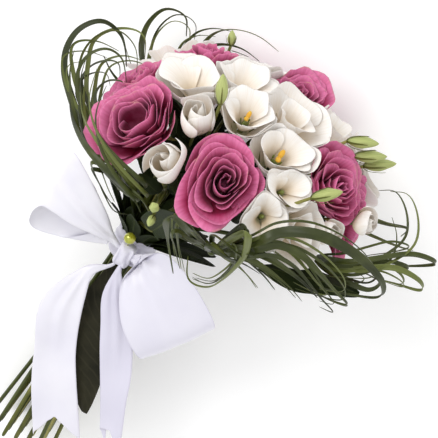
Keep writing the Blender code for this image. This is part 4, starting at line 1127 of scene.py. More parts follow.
@dataclass
class LisianthusLook:
    """A lisianthus: an open ruffled cup with its stigma, or a half-open wound one."""

    bloom: Bloom

    def petal_list(self) -> list[Petal]:
        """The petals, from the outside inwards."""
        made = []
        if self.bloom.kind is Kind.OPEN:
            for ring, (count, rim, high, belly, deep) in enumerate(OPEN_RINGS):
                for k in range(count):
                    seed = self.bloom.turn * 5.0 + 7 * ring + k
                    made.append(Petal(
                        root=(0.13 - 0.03 * ring, -0.98 + 0.05 * ring),
                        belly=(belly, deep),
                        rim=(rim * (SHUT.get(self.bloom.name, 1.0) if ring else 1.0) + 0.06 *
                             (chance(seed, 1.0) - 0.5), high + 0.07 * (chance(seed, 2.0) - 0.5)),
                        heading=2.0 * math.pi * (k + 0.5 * ring) / count + 0.25 * (chance(seed, 3.0) - 0.5),
                        half_angle=72.0 + 12.0 * ring,
                        spiral=0.075,
                        curl=0.6 + 1.2 * chance(seed, 4.0),
                        ruffle=0.055 + 0.045 * chance(seed, 5.0),
                        waves=1.3 + 2.0 * chance(seed, 6.0),
                        tone=0.25 * chance(seed, 7.0),
                    ))
            return made
        for k in range(7):
            t = k / 6.0
            seed = self.bloom.turn * 5.0 + k
            made.append(Petal(
                root=(0.30 - 0.12 * t, -1.15),
                belly=(1.06 - 0.62 * t, -0.74 + 0.1 * t),
                rim=(0.54 - 0.47 * t, -0.03 + 0.05 * t),
                heading=k * GOLDEN_ANGLE,
                half_angle=88.0 + 20.0 * t,
                spiral=0.09 + 0.10 * t,
                curl=0.4 * (1.0 - t) ** 2,
                ruffle=0.03,
                waves=1.2 + chance(seed, 1.0),
                tip=0.02,
                tone=0.5 * t,
            ))
        return made

    def add_heart(self, mould: Mould) -> None:
        """Adds the ovary, and the two-lobed stigma and the stamens where they are ripe."""
        radius = self.bloom.radius
        axis = self.bloom.axis

        def at(rho: float, phi: float, z: float) -> Vector:
            """A point of the heart, in shares of the bloom's radius."""
            return self.bloom.put(rho * radius, phi, z * radius)

        mould.ball(at(0.0, 0.0, -0.80), axis, (0.085 * radius, 0.20 * radius), 0.5, 1)
        if self.bloom.name not in RIPE_STIGMAS:
            return
        split = self.bloom.side if chance(self.bloom.turn, 2.0) < 0.5 else self.bloom.over
        for side in (-1.0, 1.0):
            lobe = at(0.0, 0.0, -0.44) + split * (side * 0.085 * radius)
            mould.ball(lobe, split + axis * (0.7 * side), (0.062 * radius, 0.115 * radius), 0.5, 2)
        for angle in around(5):
            foot, head = at(0.10, angle, -0.9), at(0.17, angle, -0.60)
            way = smooth_path([foot, foot.lerp(head, 0.5) + axis, head], 5)
            mould.tube(way, lambda share: 0.3, 0.7, 6, 1)
            mould.ball(head, head - foot + self.bloom.over, (0.025 * radius, 0.055 * radius), 0.5, 1, 8)

    def build(self, workshop: Workshop) -> None:
        """Makes the bloom."""
        mould = Mould()
        for petal in self.petal_list():
            mould.patch(9, 7, lambda u, v: petal.place(self.bloom, u, v), petal.tone)
        name = self.bloom.name
        finishes = workshop.finishes
        workshop.finish(f"{name}_bloom", mould, [finishes.lisianthus], Slot.LISIANTHUS, [name],
                        wall=LISIANTHUS_WALL, smooth=1)
        if self.bloom.kind is Kind.OPEN:
            heart = Mould()
            self.add_heart(heart)
            workshop.finish(f"{name}_heart", heart, [finishes.lisianthus, finishes.ovary, finishes.stigma],
                            Slot.LISIANTHUS)


@dataclass(frozen=True)
class Stalk:
    """A stem's way, from its cut end up to what it carries."""

    foot: Sequence[Point]
    route: Sequence[Point]

    def path(self, count: int = 46) -> list[Vector]:
        """The smooth centre line."""
        return smooth_path(list(self.foot[:-1]) + list(self.route), count)


@dataclass(frozen=True)
class Goal:
    """Where a stem or branch ends, the stem that it is part of, and the bloom that it carries, if any."""

    end: Vector
    direction: Vector
    group: str
    owner: str | None = None


def below_band(place: Vector, drop: float) -> list[Vector]:
    """A stem's way from its cut end up through the band.

    Args:
        place: Where it stands in the band, from the band's middle.
        drop: How far its cut end leans towards the floor.

    Returns:
        The points of its way.
    """
    start = WAIST - UP * (0.5 * STRAIGHT_LENGTH)
    points = []
    for t in (1.0, 0.5, 0.0):
        flare = 1.0 + (STEM_FLARE - 1.0) * t
        turn = Matrix.Rotation(STEM_TWIST * t, 3, "Z")
        shift = FLOOR_NORMAL * (-drop * t)
        points.append(start + turn @ (place * flare) - UP * (STEM_LENGTH * t) + shift)
    points.append(WAIST + UP * (0.5 * STRAIGHT_LENGTH) + place)
    return points


def first_route(start: Vector, goal: Goal) -> np.ndarray:
    """A smooth way from the top of the band to what a stem carries.

    Args:
        start: Where it leaves the band or its trunk.
        goal: Where it ends.

    Returns:
        Its points, one a row.
    """
    reach = (goal.end - start).length
    handle = 0.34 * reach if goal.owner else 24.0
    low = start + UP * (0.25 * reach)
    high = goal.end - goal.direction * handle
    points = []
    for t in np.linspace(0.0, 1.0, ROUTE_POINTS):
        s = 1.0 - t
        points.append(start * s ** 3 + low * (3 * s * s * t) + high * (3 * s * t * t) + goal.end * t ** 3)
    return np.array([tuple(point) for point in points])


@dataclass
class Arrangement:
    """How the stems run: packed side by side in the band, and past each other and the blooms above it."""

    blooms: dict[str, Bloom]
    room: float = 3.5
    stem_push: float = 0.4
    bloom_push: float = 2.5
    longest_step: float = 2.0
    smoothing: float = 0.06
    goals: dict[str, Goal] = field(init=False)
    feet: dict[str, list[Vector]] = field(init=False)
    routes: dict[str, np.ndarray] = field(init=False)
    weights: np.ndarray = field(init=False)

    def __post_init__(self) -> None:
        """Plans every stem, strand and stalk."""
        self.goals = self.find_goals()
        waist = self.packed(self.wishes())
        lean = min(height(below_band(place, 0.0)[0]) for place in waist.values()) - STEM_RADIUS + END_CUT
        self.feet = {group: below_band(place, lean) for group, place in waist.items()}
        self.routes = self.trunks()
        starts = {group: Vector(self.routes[group][-1]) if group in self.routes else foot[-1]
                  for group, foot in self.feet.items()}
        for key, goal in self.goals.items():
            self.routes[key] = first_route(starts[goal.group], goal)
        self.weights = np.zeros((ROUTE_SAMPLES, ROUTE_POINTS))
        for row, t in enumerate(np.linspace(0.0, ROUTE_POINTS - 1.0, ROUTE_SAMPLES)):
            k = min(int(t), ROUTE_POINTS - 2)
            self.weights[row, k:k + 2] = 1.0 - (t - k), t - k
        for _ in range(ROUTE_ROUNDS):
            self.ease_apart()

    def find_goals(self) -> dict[str, Goal]:
        """Where every stem, strand and stalk ends.

        Returns:
            The goals by the name of what ends there.
        """
        goals = {}
        for name, bloom in self.blooms.items():
            if bloom.kind is Kind.ROSE:
                goals[name] = Goal(bloom.foot, bloom.axis, name.replace("rose", "rose_stem"), name)
        for spray, (members, buds) in SPRAYS.items():
            for name in members:
                goals[name] = Goal(self.blooms[name].foot, self.blooms[name].axis, spray, name)
            for k, (place, direction, _, length) in enumerate(buds):
                aim = Vector(direction).normalized()
                goals[f"{spray}_bud_{k}"] = Goal(Vector(place) - aim * (0.45 * length), aim, spray)
        for bunch, (fan, _) in GRASS.items():
            goals[bunch] = Goal(seen(*fan), (seen(*fan) - WAIST).normalized(), bunch)
        for leaf, (_, points, _) in LEAVES.items():
            start, after = seen(*points[0]), seen(*points[1])
            goals[leaf] = Goal(start.lerp(after, 0.1), (after - start).normalized(), leaf)
        return goals

    def wishes(self) -> dict[str, tuple[float, float]]:
        """Where each stem would like to stand in the band, from where it goes above.

        Returns:
            Places to the side of the band's middle, by stem.
        """
        ends = {}
        for goal in self.goals.values():
            ends.setdefault(goal.group, []).append((goal.end.x, goal.end.y))
        wanted = {}
        for group, places in ends.items():
            x, y = np.mean(places, axis=0)
            outer = OUTER_WISH if group in GRASS or group in LEAVES else INNER_WISH
            size = max(math.hypot(x, y), 1.0)
            share = outer * min(size / HEAD_RADIUS + 0.15, 1.1)
            wanted[group] = (share * x / size, share * y / size)
        wanted["leaf_wrap"] = WRAP_WISH
        return wanted

    def packed(self, wanted: dict[str, tuple[float, float]]) -> dict[str, Vector]:
        """Packs the stems side by side in the band, in the order of the flowers above.

        Args:
            wanted: Where each would like to stand.

        Returns:
            Where each stands.
        """
        places = np.array(list(wanted.values()), dtype=float)
        for _ in range(PACK_ROUNDS):
            places *= PACK_SQUEEZE
            for _, i in itertools.product(range(4), range(len(places))):
                for j in range(i):
                    apart = places[i] - places[j]
                    distance = max(np.linalg.norm(apart), 1e-3)
                    if distance < STEM_PITCH:
                        push = apart / distance * (STEM_PITCH - distance) * 0.5
                        places[i] += push
                        places[j] -= push
        places -= places.mean(axis=0)
        return {name: Vector((x, y, 0.0)) for name, (x, y) in zip(wanted, places)}

    def trunks(self) -> dict[str, np.ndarray]:
        """The trunk of each spray, from the band to the point where it branches.

        Returns:
            The trunks' points by spray.
        """
        made = {}
        for spray in SPRAYS:
            ends = [goal.end for goal in self.goals.values() if goal.group == spray]
            start = self.feet[spray][-1]
            fork = start + UP * TRUNK_LENGTH + (sum(ends, Vector()) / len(ends) - start) * 0.12
            made[spray] = np.array([tuple(start.lerp(fork, t)) for t in np.linspace(0.0, 1.0, ROUTE_POINTS)])
        return made

    def pushed_by_stems(self, lines: dict[str, np.ndarray]) -> dict[str, np.ndarray]:
        """How far each sample of each stem is pushed aside by the stems that come too close.

        Args:
            lines: The samples of every stem.

        Returns:
            The pushes, by stem.
        """
        share = np.linspace(0.0, 1.0, ROUTE_SAMPLES)
        need = STEM_PITCH + 1.2 * np.minimum(1.0, 6.0 * share)
        pushes = {name: np.zeros((ROUTE_SAMPLES, 3)) for name in lines}
        names = list(lines)
        for one, two in ((one, two) for i, one in enumerate(names) for two in names[:i]):
            a, b = lines[one], lines[two]
            gap = max((a.min(axis=0) - b.max(axis=0)).max(), (b.min(axis=0) - a.max(axis=0)).max())
            if gap > REACH_TOGETHER:
                continue
            apart = a[:, None, :] - b[None, :, :]
            distance = np.linalg.norm(apart, axis=2)
            wanted = np.minimum(need[:, None], need[None, :])
            if self.group(one) == self.group(two):
                wanted = wanted * (share[:, None] > 0.6) * (share[None, :] > 0.6)
            short = np.clip(wanted - distance, 0.0, None)
            if short.any():
                push = apart / np.maximum(distance, 1e-3)[:, :, None] * short[:, :, None]
                pushes[one] += push.sum(axis=1) * self.stem_push
                pushes[two] -= push.sum(axis=0) * self.stem_push
        return pushes

    def ease_apart(self) -> None:
        """Pushes crossing stems a little apart and out of the blooms, and smooths them."""
        back = self.weights.T / self.weights.sum(axis=0)[:, None]
        lines = {name: self.weights @ route for name, route in self.routes.items()}
        pushes = self.pushed_by_stems(lines)
        for name, line in self.routes.items():
            owner = self.goals[name].owner if name in self.goals else None
            for bloom in self.blooms.values():
                for k in bloom.near(lines[name]) if bloom.name != owner else ():
                    if 4 <= k < ROUTE_SAMPLES - 6 and bloom.covers(lines[name][k], self.room):
                        away = Vector(lines[name][k]) - (bloom.place - bloom.axis * (0.3 * bloom.depth))
                        pushes[name][k] += np.array(away.normalized()) * self.bloom_push
            step = back @ pushes[name]
            step[0] = 0.0
            step[-2:] *= 0.3
            step[-1] = 0.0
            line += np.clip(step, -self.longest_step, self.longest_step)
            line[1:-1] += self.smoothing * (0.5 * (line[:-2] + line[2:]) - line[1:-1])

    def group(self, name: str) -> str:
        """The stem that a branch or trunk is part of."""
        return self.goals[name].group if name in self.goals else name

    def route(self, name: str) -> tuple[Point, ...]:
        """A stem's or branch's way above the band."""
        return tenths(self.routes[name])

    def stalk(self, stem: str, name: str = "") -> Stalk:
        """A stem's whole way, from its cut end to what it carries."""
        return Stalk(tenths(self.feet[stem]), self.route(name or stem))

    def clear_of_blooms(self, points: Sequence[Vector], width: float, side: float) -> list[Vector]:
        """Moves a blade along the line of sight until no bloom covers it.

        Args:
            points: The blade's points.
            width: Its width.
            side: 1 to move it nearer and -1 to move it away.

        Returns:
            The moved points.
        """
        places = list(points)
        shifts = [0.0] * len(places)
        margin = 0.5 * width + 1.5
        for _ in range(60):
            wanted = [0.0] * len(places)
            for k, t in itertools.product(range(2, len(places)), (0.25, 0.5, 0.75, 1.0)):
                middle = places[k - 1].lerp(places[k], t)
                if any(bloom.covers(middle, margin) for bloom in self.blooms.values()):
                    wanted[k - 1] = max(wanted[k - 1], 1.0 - t)
                    wanted[k] = max(wanted[k], t)
            for k, share in enumerate(wanted):
                step = min(1.5 * share, BLADE_SHIFT - shifts[k])
                if height(places[k] + NEAR * (side * step)) > 0.6 * width:
                    places[k] += NEAR * (side * step)
                    shifts[k] += step
        return places

    def blades(self, bunch: str) -> list[tuple[float, tuple[Point, ...]]]:
        """The blades of a bunch of grass, clear of the blooms.

        Args:
            bunch: The bunch's name.

        Returns:
            Widths and ways.
        """
        fan = seen(*GRASS[bunch][0])
        made = []
        for k, (width, points) in enumerate(GRASS[bunch][1]):
            heading = (seen(*points[0]) - fan).normalized()
            way = [fan + heading * (0.6 + 0.15 * k)] + [seen(*point) for point in points]
            path = smooth_path(way, max(7, round(1.4 * len(points))) + 1, 24)
            side = -1.0 if points[0][2] < 0.0 else 1.0
            made.append((width, tenths(self.clear_of_blooms(path, width, side))))
        return made


@dataclass
class Foliage:
    """Small pointed leaves that grow from a stem, under the flowers; in their very dark finish they also fill
    the gaps between blooms as painted shade.
    """

    path: Sequence[Vector]
    shares: tuple[float, ...]
    length: float = 33.0
    width: float = 16.0
    above_band: float = 18.0

    def add_to(self, mould: Mould, slot: int, seed: float) -> None:
        """Grows the leaves.

        Args:
            mould: The mould that takes them.
            slot: The index of the leaf material.
            seed: A number that varies their turns.
        """
        last = len(self.path) - 1
        for k, share in enumerate(self.shares):
            n = min(int(share * last), last - 1)
            foot, ahead = self.path[n], (self.path[n + 1] - self.path[n]).normalized()
            if foot.z < WAIST.z + self.above_band:
                continue
            spin = Matrix.Rotation(2.4 * k + 6.0 * chance(seed, k + 1.0), 3, ahead)
            out = (spin @ ahead.orthogonal()).normalized()
            across = ahead.cross(out)
            reach = self.length * (0.8 + 0.4 * chance(seed, k + 5.0))

            def place(u: float, v: float) -> Vector:
                """A point of a small leaf.

                Args:
                    u: Across, from -1 to 1.
                    v: Along, from 0 to 1.

                Returns:
                    The point.
                """
                along = ahead * (reach * v * (1.0 - 0.25 * v))
                along = along + out * (reach * (0.25 * v + 0.45 * v * v) + 1.5)
                half = 0.5 * self.width * leaf_shape(v)
                return foot + along + across * (u * half) + out * (0.18 * half * u * u)

            mould.slab(2, 5, place, 0.3, SMALL_LEAF_WALL, slot)


@dataclass
class BindingLeaves:
    """Rings of dark leaves that grow from the stems at the band and hide its opening."""

    rings: Sequence[tuple[int, float, float, float]] = (
        (11, 15.0, 27.0, 34.0), (9, 10.0, 17.0, 44.0), (10, 13.0, 44.0, 46.0))
    fan: Sequence[Point] = (
        (-64.0, 44.0, 43.0), (-47.0, 56.0, 40.0), (-31.0, 62.0, 36.0),
        (-12.0, 66.0, 25.0), (8.0, 62.0, 19.0), (28.0, 54.0, 22.0))
    width: float = 17.0

    def leaves(self) -> Iterator[tuple[float, float, float, float]]:
        """The heading, the foot's and the tip's distance from the stems and the rise of each leaf."""
        for ring, (count, foot_out, tip_out, rise) in enumerate(self.rings):
            for k in range(count):
                angle = 2.0 * math.pi * (k + 0.5 * ring + 0.3 * chance(k, ring)) / count
                yield angle, foot_out, tip_out, rise * (0.8 + 0.35 * chance(k, ring, 2.0))
        for heading, tip_out, rise in self.fan:
            yield math.radians(heading), 12.0, tip_out, rise

    def build(self, workshop: Workshop) -> None:
        """Makes the leaves."""
        mould = Mould()
        level = WAIST + UP * 2.0
        for k, (angle, foot_out, tip_out, high) in enumerate(self.leaves()):
            out = Vector((math.cos(angle), math.sin(angle), 0.0))
            across = UP.cross(out)
            half = 0.5 * self.width * (0.8 + 0.3 * chance(k, 3.0)) * (1.0 if tip_out < 50.0 else 1.25)

            def place(u: float, v: float) -> Vector:
                """A point of a dark leaf at the band.

                Args:
                    u: Across, from -1 to 1.
                    v: Along, from 0 to 1.

                Returns:
                    The point.
                """
                reach = foot_out + (tip_out - foot_out) * (0.55 * v + 0.45 * v ** 2)
                wave = 0.12 * half * u * u + 0.6 * math.sin(7.0 * v + 2.0 * u)
                return (level + out * (reach + wave) + UP * (high * v * (1.0 - 0.12 * v))
                        + across * (u * half * leaf_shape(v)))

            mould.slab(4, 6, place, 0.4 * chance(k, 4.0), SMALL_LEAF_WALL)
        workshop.finish("binding_leaves", mould, [workshop.finishes.leaf], Slot.LEAF, smooth=1)


@dataclass
class RoseStemLook:
    """A rose stem with its calyx and five sepals that bend back."""

    bloom: Bloom
    stalk: Stalk
    thickness: float = STEM_RADIUS
    calyx: float = 5.0

    def build(self, workshop: Workshop) -> None:
        """Makes the stem."""
        node = self.bloom.name.replace("rose", "rose_stem")
        mould = Mould()
        path = self.stalk.path()
        length = sum((b - a).length for a, b in zip(path, path[1:]))

        def radius(share: float) -> float:
            """The stem's radius for a share of its length, with its nodes and its calyx."""
            left = (1.0 - share) * length
            node_swell = 0.35 * max(0.0, math.cos(share * 31.0)) ** 12
            return self.thickness + node_swell + (self.calyx - self.thickness) * (1.0 - ease(0.0, 15.0, left))

        mould.tube(path, radius, chance(self.bloom.turn, 9.0))
        top = path[-1]
        for angle in around(5, self.bloom.turn):
            out = self.bloom.side * math.cos(angle) + self.bloom.over * math.sin(angle)
            side = self.bloom.axis.cross(out)

            def place(u: float, v: float) -> Vector:
                """A point of a sepal.

                Args:
                    u: Across, from -1 to 1.
                    v: Along, from 0 to 1.

                Returns:
                    The point.
                """
                reach = 3.0 + 14.0 * v
                width = 2.9 * (1.0 - v) ** 0.8 + 0.15
                droop = -1.5 - 5.5 * v * v + 0.8 * u * u
                return top + out * reach + side * (u * width) + self.bloom.axis * droop

            mould.slab(4, 8, place, 0.55, ROSE_SEPAL_WALL)
        Foliage(path[16:], (0.10, 0.30, 0.50, 0.72)).add_to(mould, 1, self.bloom.turn)
        workshop.finish(f"{node}_look", mould, [workshop.finishes.stem, workshop.finishes.leaf],
                        Slot.STEM, [node], smooth=1)


@dataclass(frozen=True)
class BudShape:
    """A bud: its middle, direction, radius and length."""

    place: Point
    direction: Point
    radius: float
    length: float


@dataclass
class SprayLook:
    """A lisianthus stem with its branches, calyxes and ridged buds."""

    name: str
    stalk: Stalk
    branches: Sequence[tuple[str, Sequence[Point]]]
    buds: Sequence[BudShape]
    blooms: dict[str, Bloom]

    def add_bud(self, mould: Mould, bud: BudShape) -> None:
        """Adds a spindle-shaped bud with twisted ridges and narrow sepals."""
        aim = Vector(bud.direction).normalized()
        turn = aim.to_track_quat("Z", "Y").to_matrix()
        middle = Vector(bud.place)

        def skin(u: float, v: float) -> Vector:
            """A point of the bud's ribbed skin.

            Args:
                u: Place around, from -1 to 1.
                v: Place along, from 0 to 1.

            Returns:
                The point.
            """
            z = 2.0 * v - 1.0
            swell = (1.0 - z * z) ** 0.62 * (1.0 - 0.42 * max(z, 0.0)) * (1.0 + 0.1 * min(z, 0.0))
            angle = math.pi * u
            ridge = 1.0 + 0.10 * math.cos(5.0 * angle + 4.0 * z)
            reach = bud.radius * swell * ridge
            return middle + turn @ Vector((reach * math.cos(angle), reach * math.sin(angle),
                                           0.5 * bud.length * z))

        corners = mould.patch(20, 10, skin, 0.75, 1, seam=True)
        bmesh.ops.recalc_face_normals(mould.bm, faces=faces_at(corners))
        for angle in around(5, 0.4):
            out = turn @ Vector((math.cos(angle), math.sin(angle), 0.0))

            def sepal(u: float, v: float) -> Vector:
                """A point of a sepal at the bud's foot.

                Args:
                    u: Across, from -1 to 1.
                    v: Along, from 0 to 1.

                Returns:
                    The point.
                """
                z = -1.0 + 1.35 * v
                swell = (1.0 - min(1.0, z * z)) ** 0.62 if abs(z) < 1.0 else 0.0
                reach = bud.radius * (swell + 0.16) + 2.0 * max(0.0, v - 0.6)
                across = aim.cross(out) * (u * 0.9 * (1.0 - v) ** 0.6)
                return middle + out * reach + aim * (0.5 * bud.length * z) + across

            mould.slab(2, 8, sepal, 0.35, SEPAL_WALL)

    def add_calyx(self, mould: Mould, bloom: Bloom, top: Vector) -> None:
        """Adds five narrow sepals that stand along the foot of a bloom."""
        for angle in around(5, 0.2 * math.pi):

            def place(u: float, v: float) -> Vector:
                """A point of a sepal under the bloom.

                Args:
                    u: Across, from -1 to 1.
                    v: Along, from 0 to 1.

                Returns:
                    The point.
                """
                z = -1.12 + 0.55 * v
                rho = (0.13 + 0.42 * v ** 0.8) * bloom.radius + 1.2
                return bloom.put(rho, angle + u * 0.22 * (1.0 - v), z * bloom.radius)

            mould.slab(2, 7, place, 0.45, SEPAL_WALL)
        mould.ball(top, bloom.axis, (3.2, 3.4), 0.5)

    def build(self, workshop: Workshop) -> None:
        """Makes the spray."""
        mould = Mould()
        tone = chance(len(self.name), 3.0)
        mould.tube(self.stalk.path(36), lambda share: STEM_RADIUS, tone)
        for key, route in self.branches:
            path = smooth_path(route, 26)
            low, high = BRANCH_RADII
            mould.tube(path, lambda share: low - (low - high) * share, 0.5 * (tone + 0.6))
            if key in self.blooms:
                self.add_calyx(mould, self.blooms[key], path[-1])
            shares = (0.24, 0.42, 0.6, 0.78) if key in self.blooms else (0.5,)
            Foliage(path, shares).add_to(mould, 2, sum(path[-1]))
        for bud in self.buds:
            self.add_bud(mould, bud)
        finishes = workshop.finishes
        workshop.finish(f"{self.name}_look", mould, [finishes.stem, finishes.bud, finishes.leaf],
                        Slot.STEM, [self.name], smooth=1)


def blade_shape(v: float) -> float:
    """A grass blade's width along its length."""
    return max(0.04, min(1.0, 0.55 + 3.0 * v, 2.0 * (1.02 - v)))


def leaf_shape(v: float) -> float:
    """A leaf's width along its length."""
    return max(0.03, math.sin(math.pi * min(1.0, 0.06 + 0.92 * v)) ** 0.75)


@dataclass
class GrassLook:
    """A bunch of folded grass blades that loop out from one strand."""

    name: str
    stalk: Stalk
    blades: Sequence[tuple[float, Sequence[Point]]]
    neighbours: int = 2
    fold: float = 0.16
    tuck_reach: float = 66.0
    wide: float = 4.3

    def with_neighbours(self) -> list[tuple[float, list[Vector]]]:
        """The bunch's blades, each with narrower ones that loop beside and across it.

        Returns:
            Widths and ways.
        """
        made = []
        hold = WAIST + UP * 9.0
        for k, (width, points) in enumerate(self.blades):
            way = [Vector(point) for point in points]
            if (way[-1] - hold).length < self.tuck_reach:
                way.append(way[-1].lerp(hold, 0.78) + (way[-1] - way[-2]) * 0.25)
            made.append((width, way))
            root = way[0]
            for j in range(self.neighbours):
                seed = 5.0 * k + j + len(self.name)
                scale = 0.78 + 0.17 * chance(seed, 1.0)
                swing = Matrix.Rotation(math.radians(17.0 * (chance(seed, 2.0) - 0.5)), 3, NEAR)
                swing = Matrix.Rotation(math.radians(14.0 * (chance(seed, 3.0) - 0.5)), 3, "X") @ swing
                stop = max(4, round(len(way) * (0.8 + 0.25 * chance(seed, 4.0))))
                beside = [root + swing @ (point - root) * scale for point in way[:stop]]
                made.append((2.0 + 2.2 * chance(seed, 5.0), beside))
        return made

    def build(self, workshop: Workshop) -> None:
        """Makes the strand and the blades."""
        strand = Mould()
        strand.tube(self.stalk.path(40), lambda share: STRAND_RADIUS, 0.35, 8)
        strand.ball(Vector(self.stalk.route[-1]), UP, (3.6, 3.6), 0.4)
        workshop.finish(f"{self.name}_strand", strand, [workshop.finishes.grass], Slot.GRASS, [self.name],
                        smooth=1)
        loops = Mould()
        for k, (width, points) in enumerate(self.with_neighbours()):
            columns, finer = (4, 4) if width > self.wide else (2, 3)
            rows = finer * len(points)
            path = smooth_path(points, rows + 1)
            frames = frames_along(path, (path[1] - path[0]).cross(NEAR))
            seed = len(self.name) + 3.0 * k

            def place(u: float, v: float) -> Vector:
                """A point of a folded blade.

                Args:
                    u: Across, from -1 to 1.
                    v: Along, from 0 to 1.

                Returns:
                    The point.
                """
                row = min(round(v * rows), rows)
                side, face = frames[row]
                lean = 0.5 * math.sin(2.4 * v * math.pi + seed)
                turned = side * math.cos(lean) + face * math.sin(lean)
                across = turned.cross((path[min(row + 1, rows)] - path[max(row - 1, 0)]).normalized())
                half = 0.5 * width * blade_shape(v)
                return path[row] + turned * (u * half) + across * (self.fold * width * (abs(u) - 0.5))

            loops.patch(columns, rows, place, chance(seed, 2.0) ** 1.2)
        workshop.finish(f"{self.name}_blades", loops, [workshop.finishes.grass], Slot.GRASS, [self.name],
                        wall=BLADE_WALL, smooth=1)


@dataclass
class LeafLook:
    """A leaf with a folded midrib and a gentle wave, on its stalk."""

    name: str
    stalk: Stalk
    way: Sequence[Vector]
    width: float
    side: Vector
    wave: float = 1.4
    rib_depth: float = 0.5
    taper: float = 0.0

    def build(self, workshop: Workshop) -> None:
        """Makes the stalk and the blade."""
        strand = Mould()
        strand.tube(self.stalk.path(30), lambda share: STRAND_RADIUS, 0.3, 8)
        workshop.finish(f"{self.name}_stalk", strand, [workshop.finishes.stem], Slot.LEAF, [self.name],
                        smooth=1)
        rows = 34
        path = smooth_path(self.way, rows + 1)
        frames = frames_along(path, self.side)
        blade = Mould()

        def place(u: float, v: float) -> Vector:
            """A point of the leaf's blade.

            Args:
                u: Across, from -1 to 1.
                v: Along, from 0 to 1.

            Returns:
                The point.
            """
            row = min(round(v * rows), rows)
            side, face = frames[row]
            half = 0.5 * self.width * leaf_shape(v) * (1.0 - self.taper * (1.0 - ease(0.0, 0.5, v)))
            lift = 0.14 * half * abs(u) + self.wave * math.sin(9.0 * v + 2.0 * u) * abs(u)
            rib = self.rib_depth * math.exp(-(u / 0.06) ** 2)
            return path[row] + side * (u * half) + face * (lift - rib)

        blade.patch(12, rows, place, 0.5)
        skin = workshop.finishes.leaf if self.rib_depth else workshop.finishes.wrap_leaf
        workshop.finish(f"{self.name}_blade", blade, [skin], Slot.LEAF, [self.name], wall=LEAF_WALL, smooth=1)


@dataclass
class RibbonLook:
    """A ribbon piece between its two edges, folded under where it narrows and gathered at the knot."""

    name: str
    one: Sequence[Point]
    other: Sequence[Point]
    notch: float = 0.0
    shadow: float = 0.2
    pleats: float = 3.0
    depth: float = 1.5
    roll: float = 1.2

    def across(self, s: float, width: float) -> tuple[float, float]:
        """Where the cloth lies across the piece, its spare width folded under at both edges.

        Args:
            s: The place across the cloth, in millimetres from its middle.
            width: How wide the piece is there.

        Returns:
            The place across the piece and the depth below its face.
        """
        straight = max(0.5 * width - self.roll, 0.1)
        past = abs(s) - straight
        if past <= 0.0:
            return s, 0.0
        sign = math.copysign(1.0, s)
        if past < math.pi * self.roll:
            angle = past / self.roll
            return sign * (straight + self.roll * math.sin(angle)), self.roll * (1.0 - math.cos(angle))
        back = min(past - math.pi * self.roll, 1.9 * straight)
        return sign * (straight - back), 2.0 * self.roll + 0.01 * back

    def build(self, workshop: Workshop) -> None:
        """Makes the piece."""
        rows, columns, finer = 46, 24, 4
        heart = seen(*KNOT_PLACE) - NEAR * 3.0
        first, second = (smooth_path([heart.lerp(seen(*line[0]), 0.25)] + [seen(*point) for point in line],
                                     rows * finer + 1) for line in (self.one, self.other))
        length = 0.5 * sum((b - a).length for line in (first, second) for a, b in zip(line, line[1:]))
        loop = not self.notch

        def place(u: float, v: float) -> Vector:
            """A point of the ribbon's cloth.

            Args:
                u: Across, from -1 to 1.
                v: Along, from 0 to 1.

            Returns:
                The point.
            """
            reach = v * (1.0 - self.notch * (1.0 - abs(u)) * v ** 3)
            k = min(round(reach * rows * finer), rows * finer)
            after = min(k + 1, rows * finer)
            gap = second[k] - first[k]
            width = gap.length
            aside, under = self.across(0.5 * u * max(RIBBON_WIDTH * GATHERED_SHARE, width), width)
            share = 0.5 + aside / width
            along = (first[after] - first[after - 1]).lerp(second[after] - second[after - 1], share)
            face = along.cross(gap).normalized()
            if not loop and face.dot(NEAR) < 0.0:
                face.negate()
            near_knot = math.exp(-(v / 0.19) ** 2) + (math.exp(-((1.0 - v) / 0.15) ** 2) if loop else 0.0)
            side = 2.0 * aside / width
            pleat = self.depth * near_knot * math.sin(self.pleats * math.pi * side + 0.6)
            wander = 5.0 * side + 1.2 * math.sin(4.0 * side) + 2.0 * v
            rays = 2.1 * math.exp(-(v / 0.40) ** 2) * math.sin(wander)
            drift = 1.7 * math.sin(1.8 * side + 6.0 * v + 1.0) + 0.5 * math.sin(19.0 * v + 1.5 * side)
            relief = pleat + (rays + drift) * (1.0 - near_knot) - under
            return first[k].lerp(second[k], share) + face * relief

        mould = Mould()
        mould.patch(columns, rows, place, self.shadow)
        made = workshop.finish(self.name + "_cloth", mould, [workshop.finishes.satin], Slot.SATIN,
                               [self.name], wall=RIBBON_WALL, smooth=1)


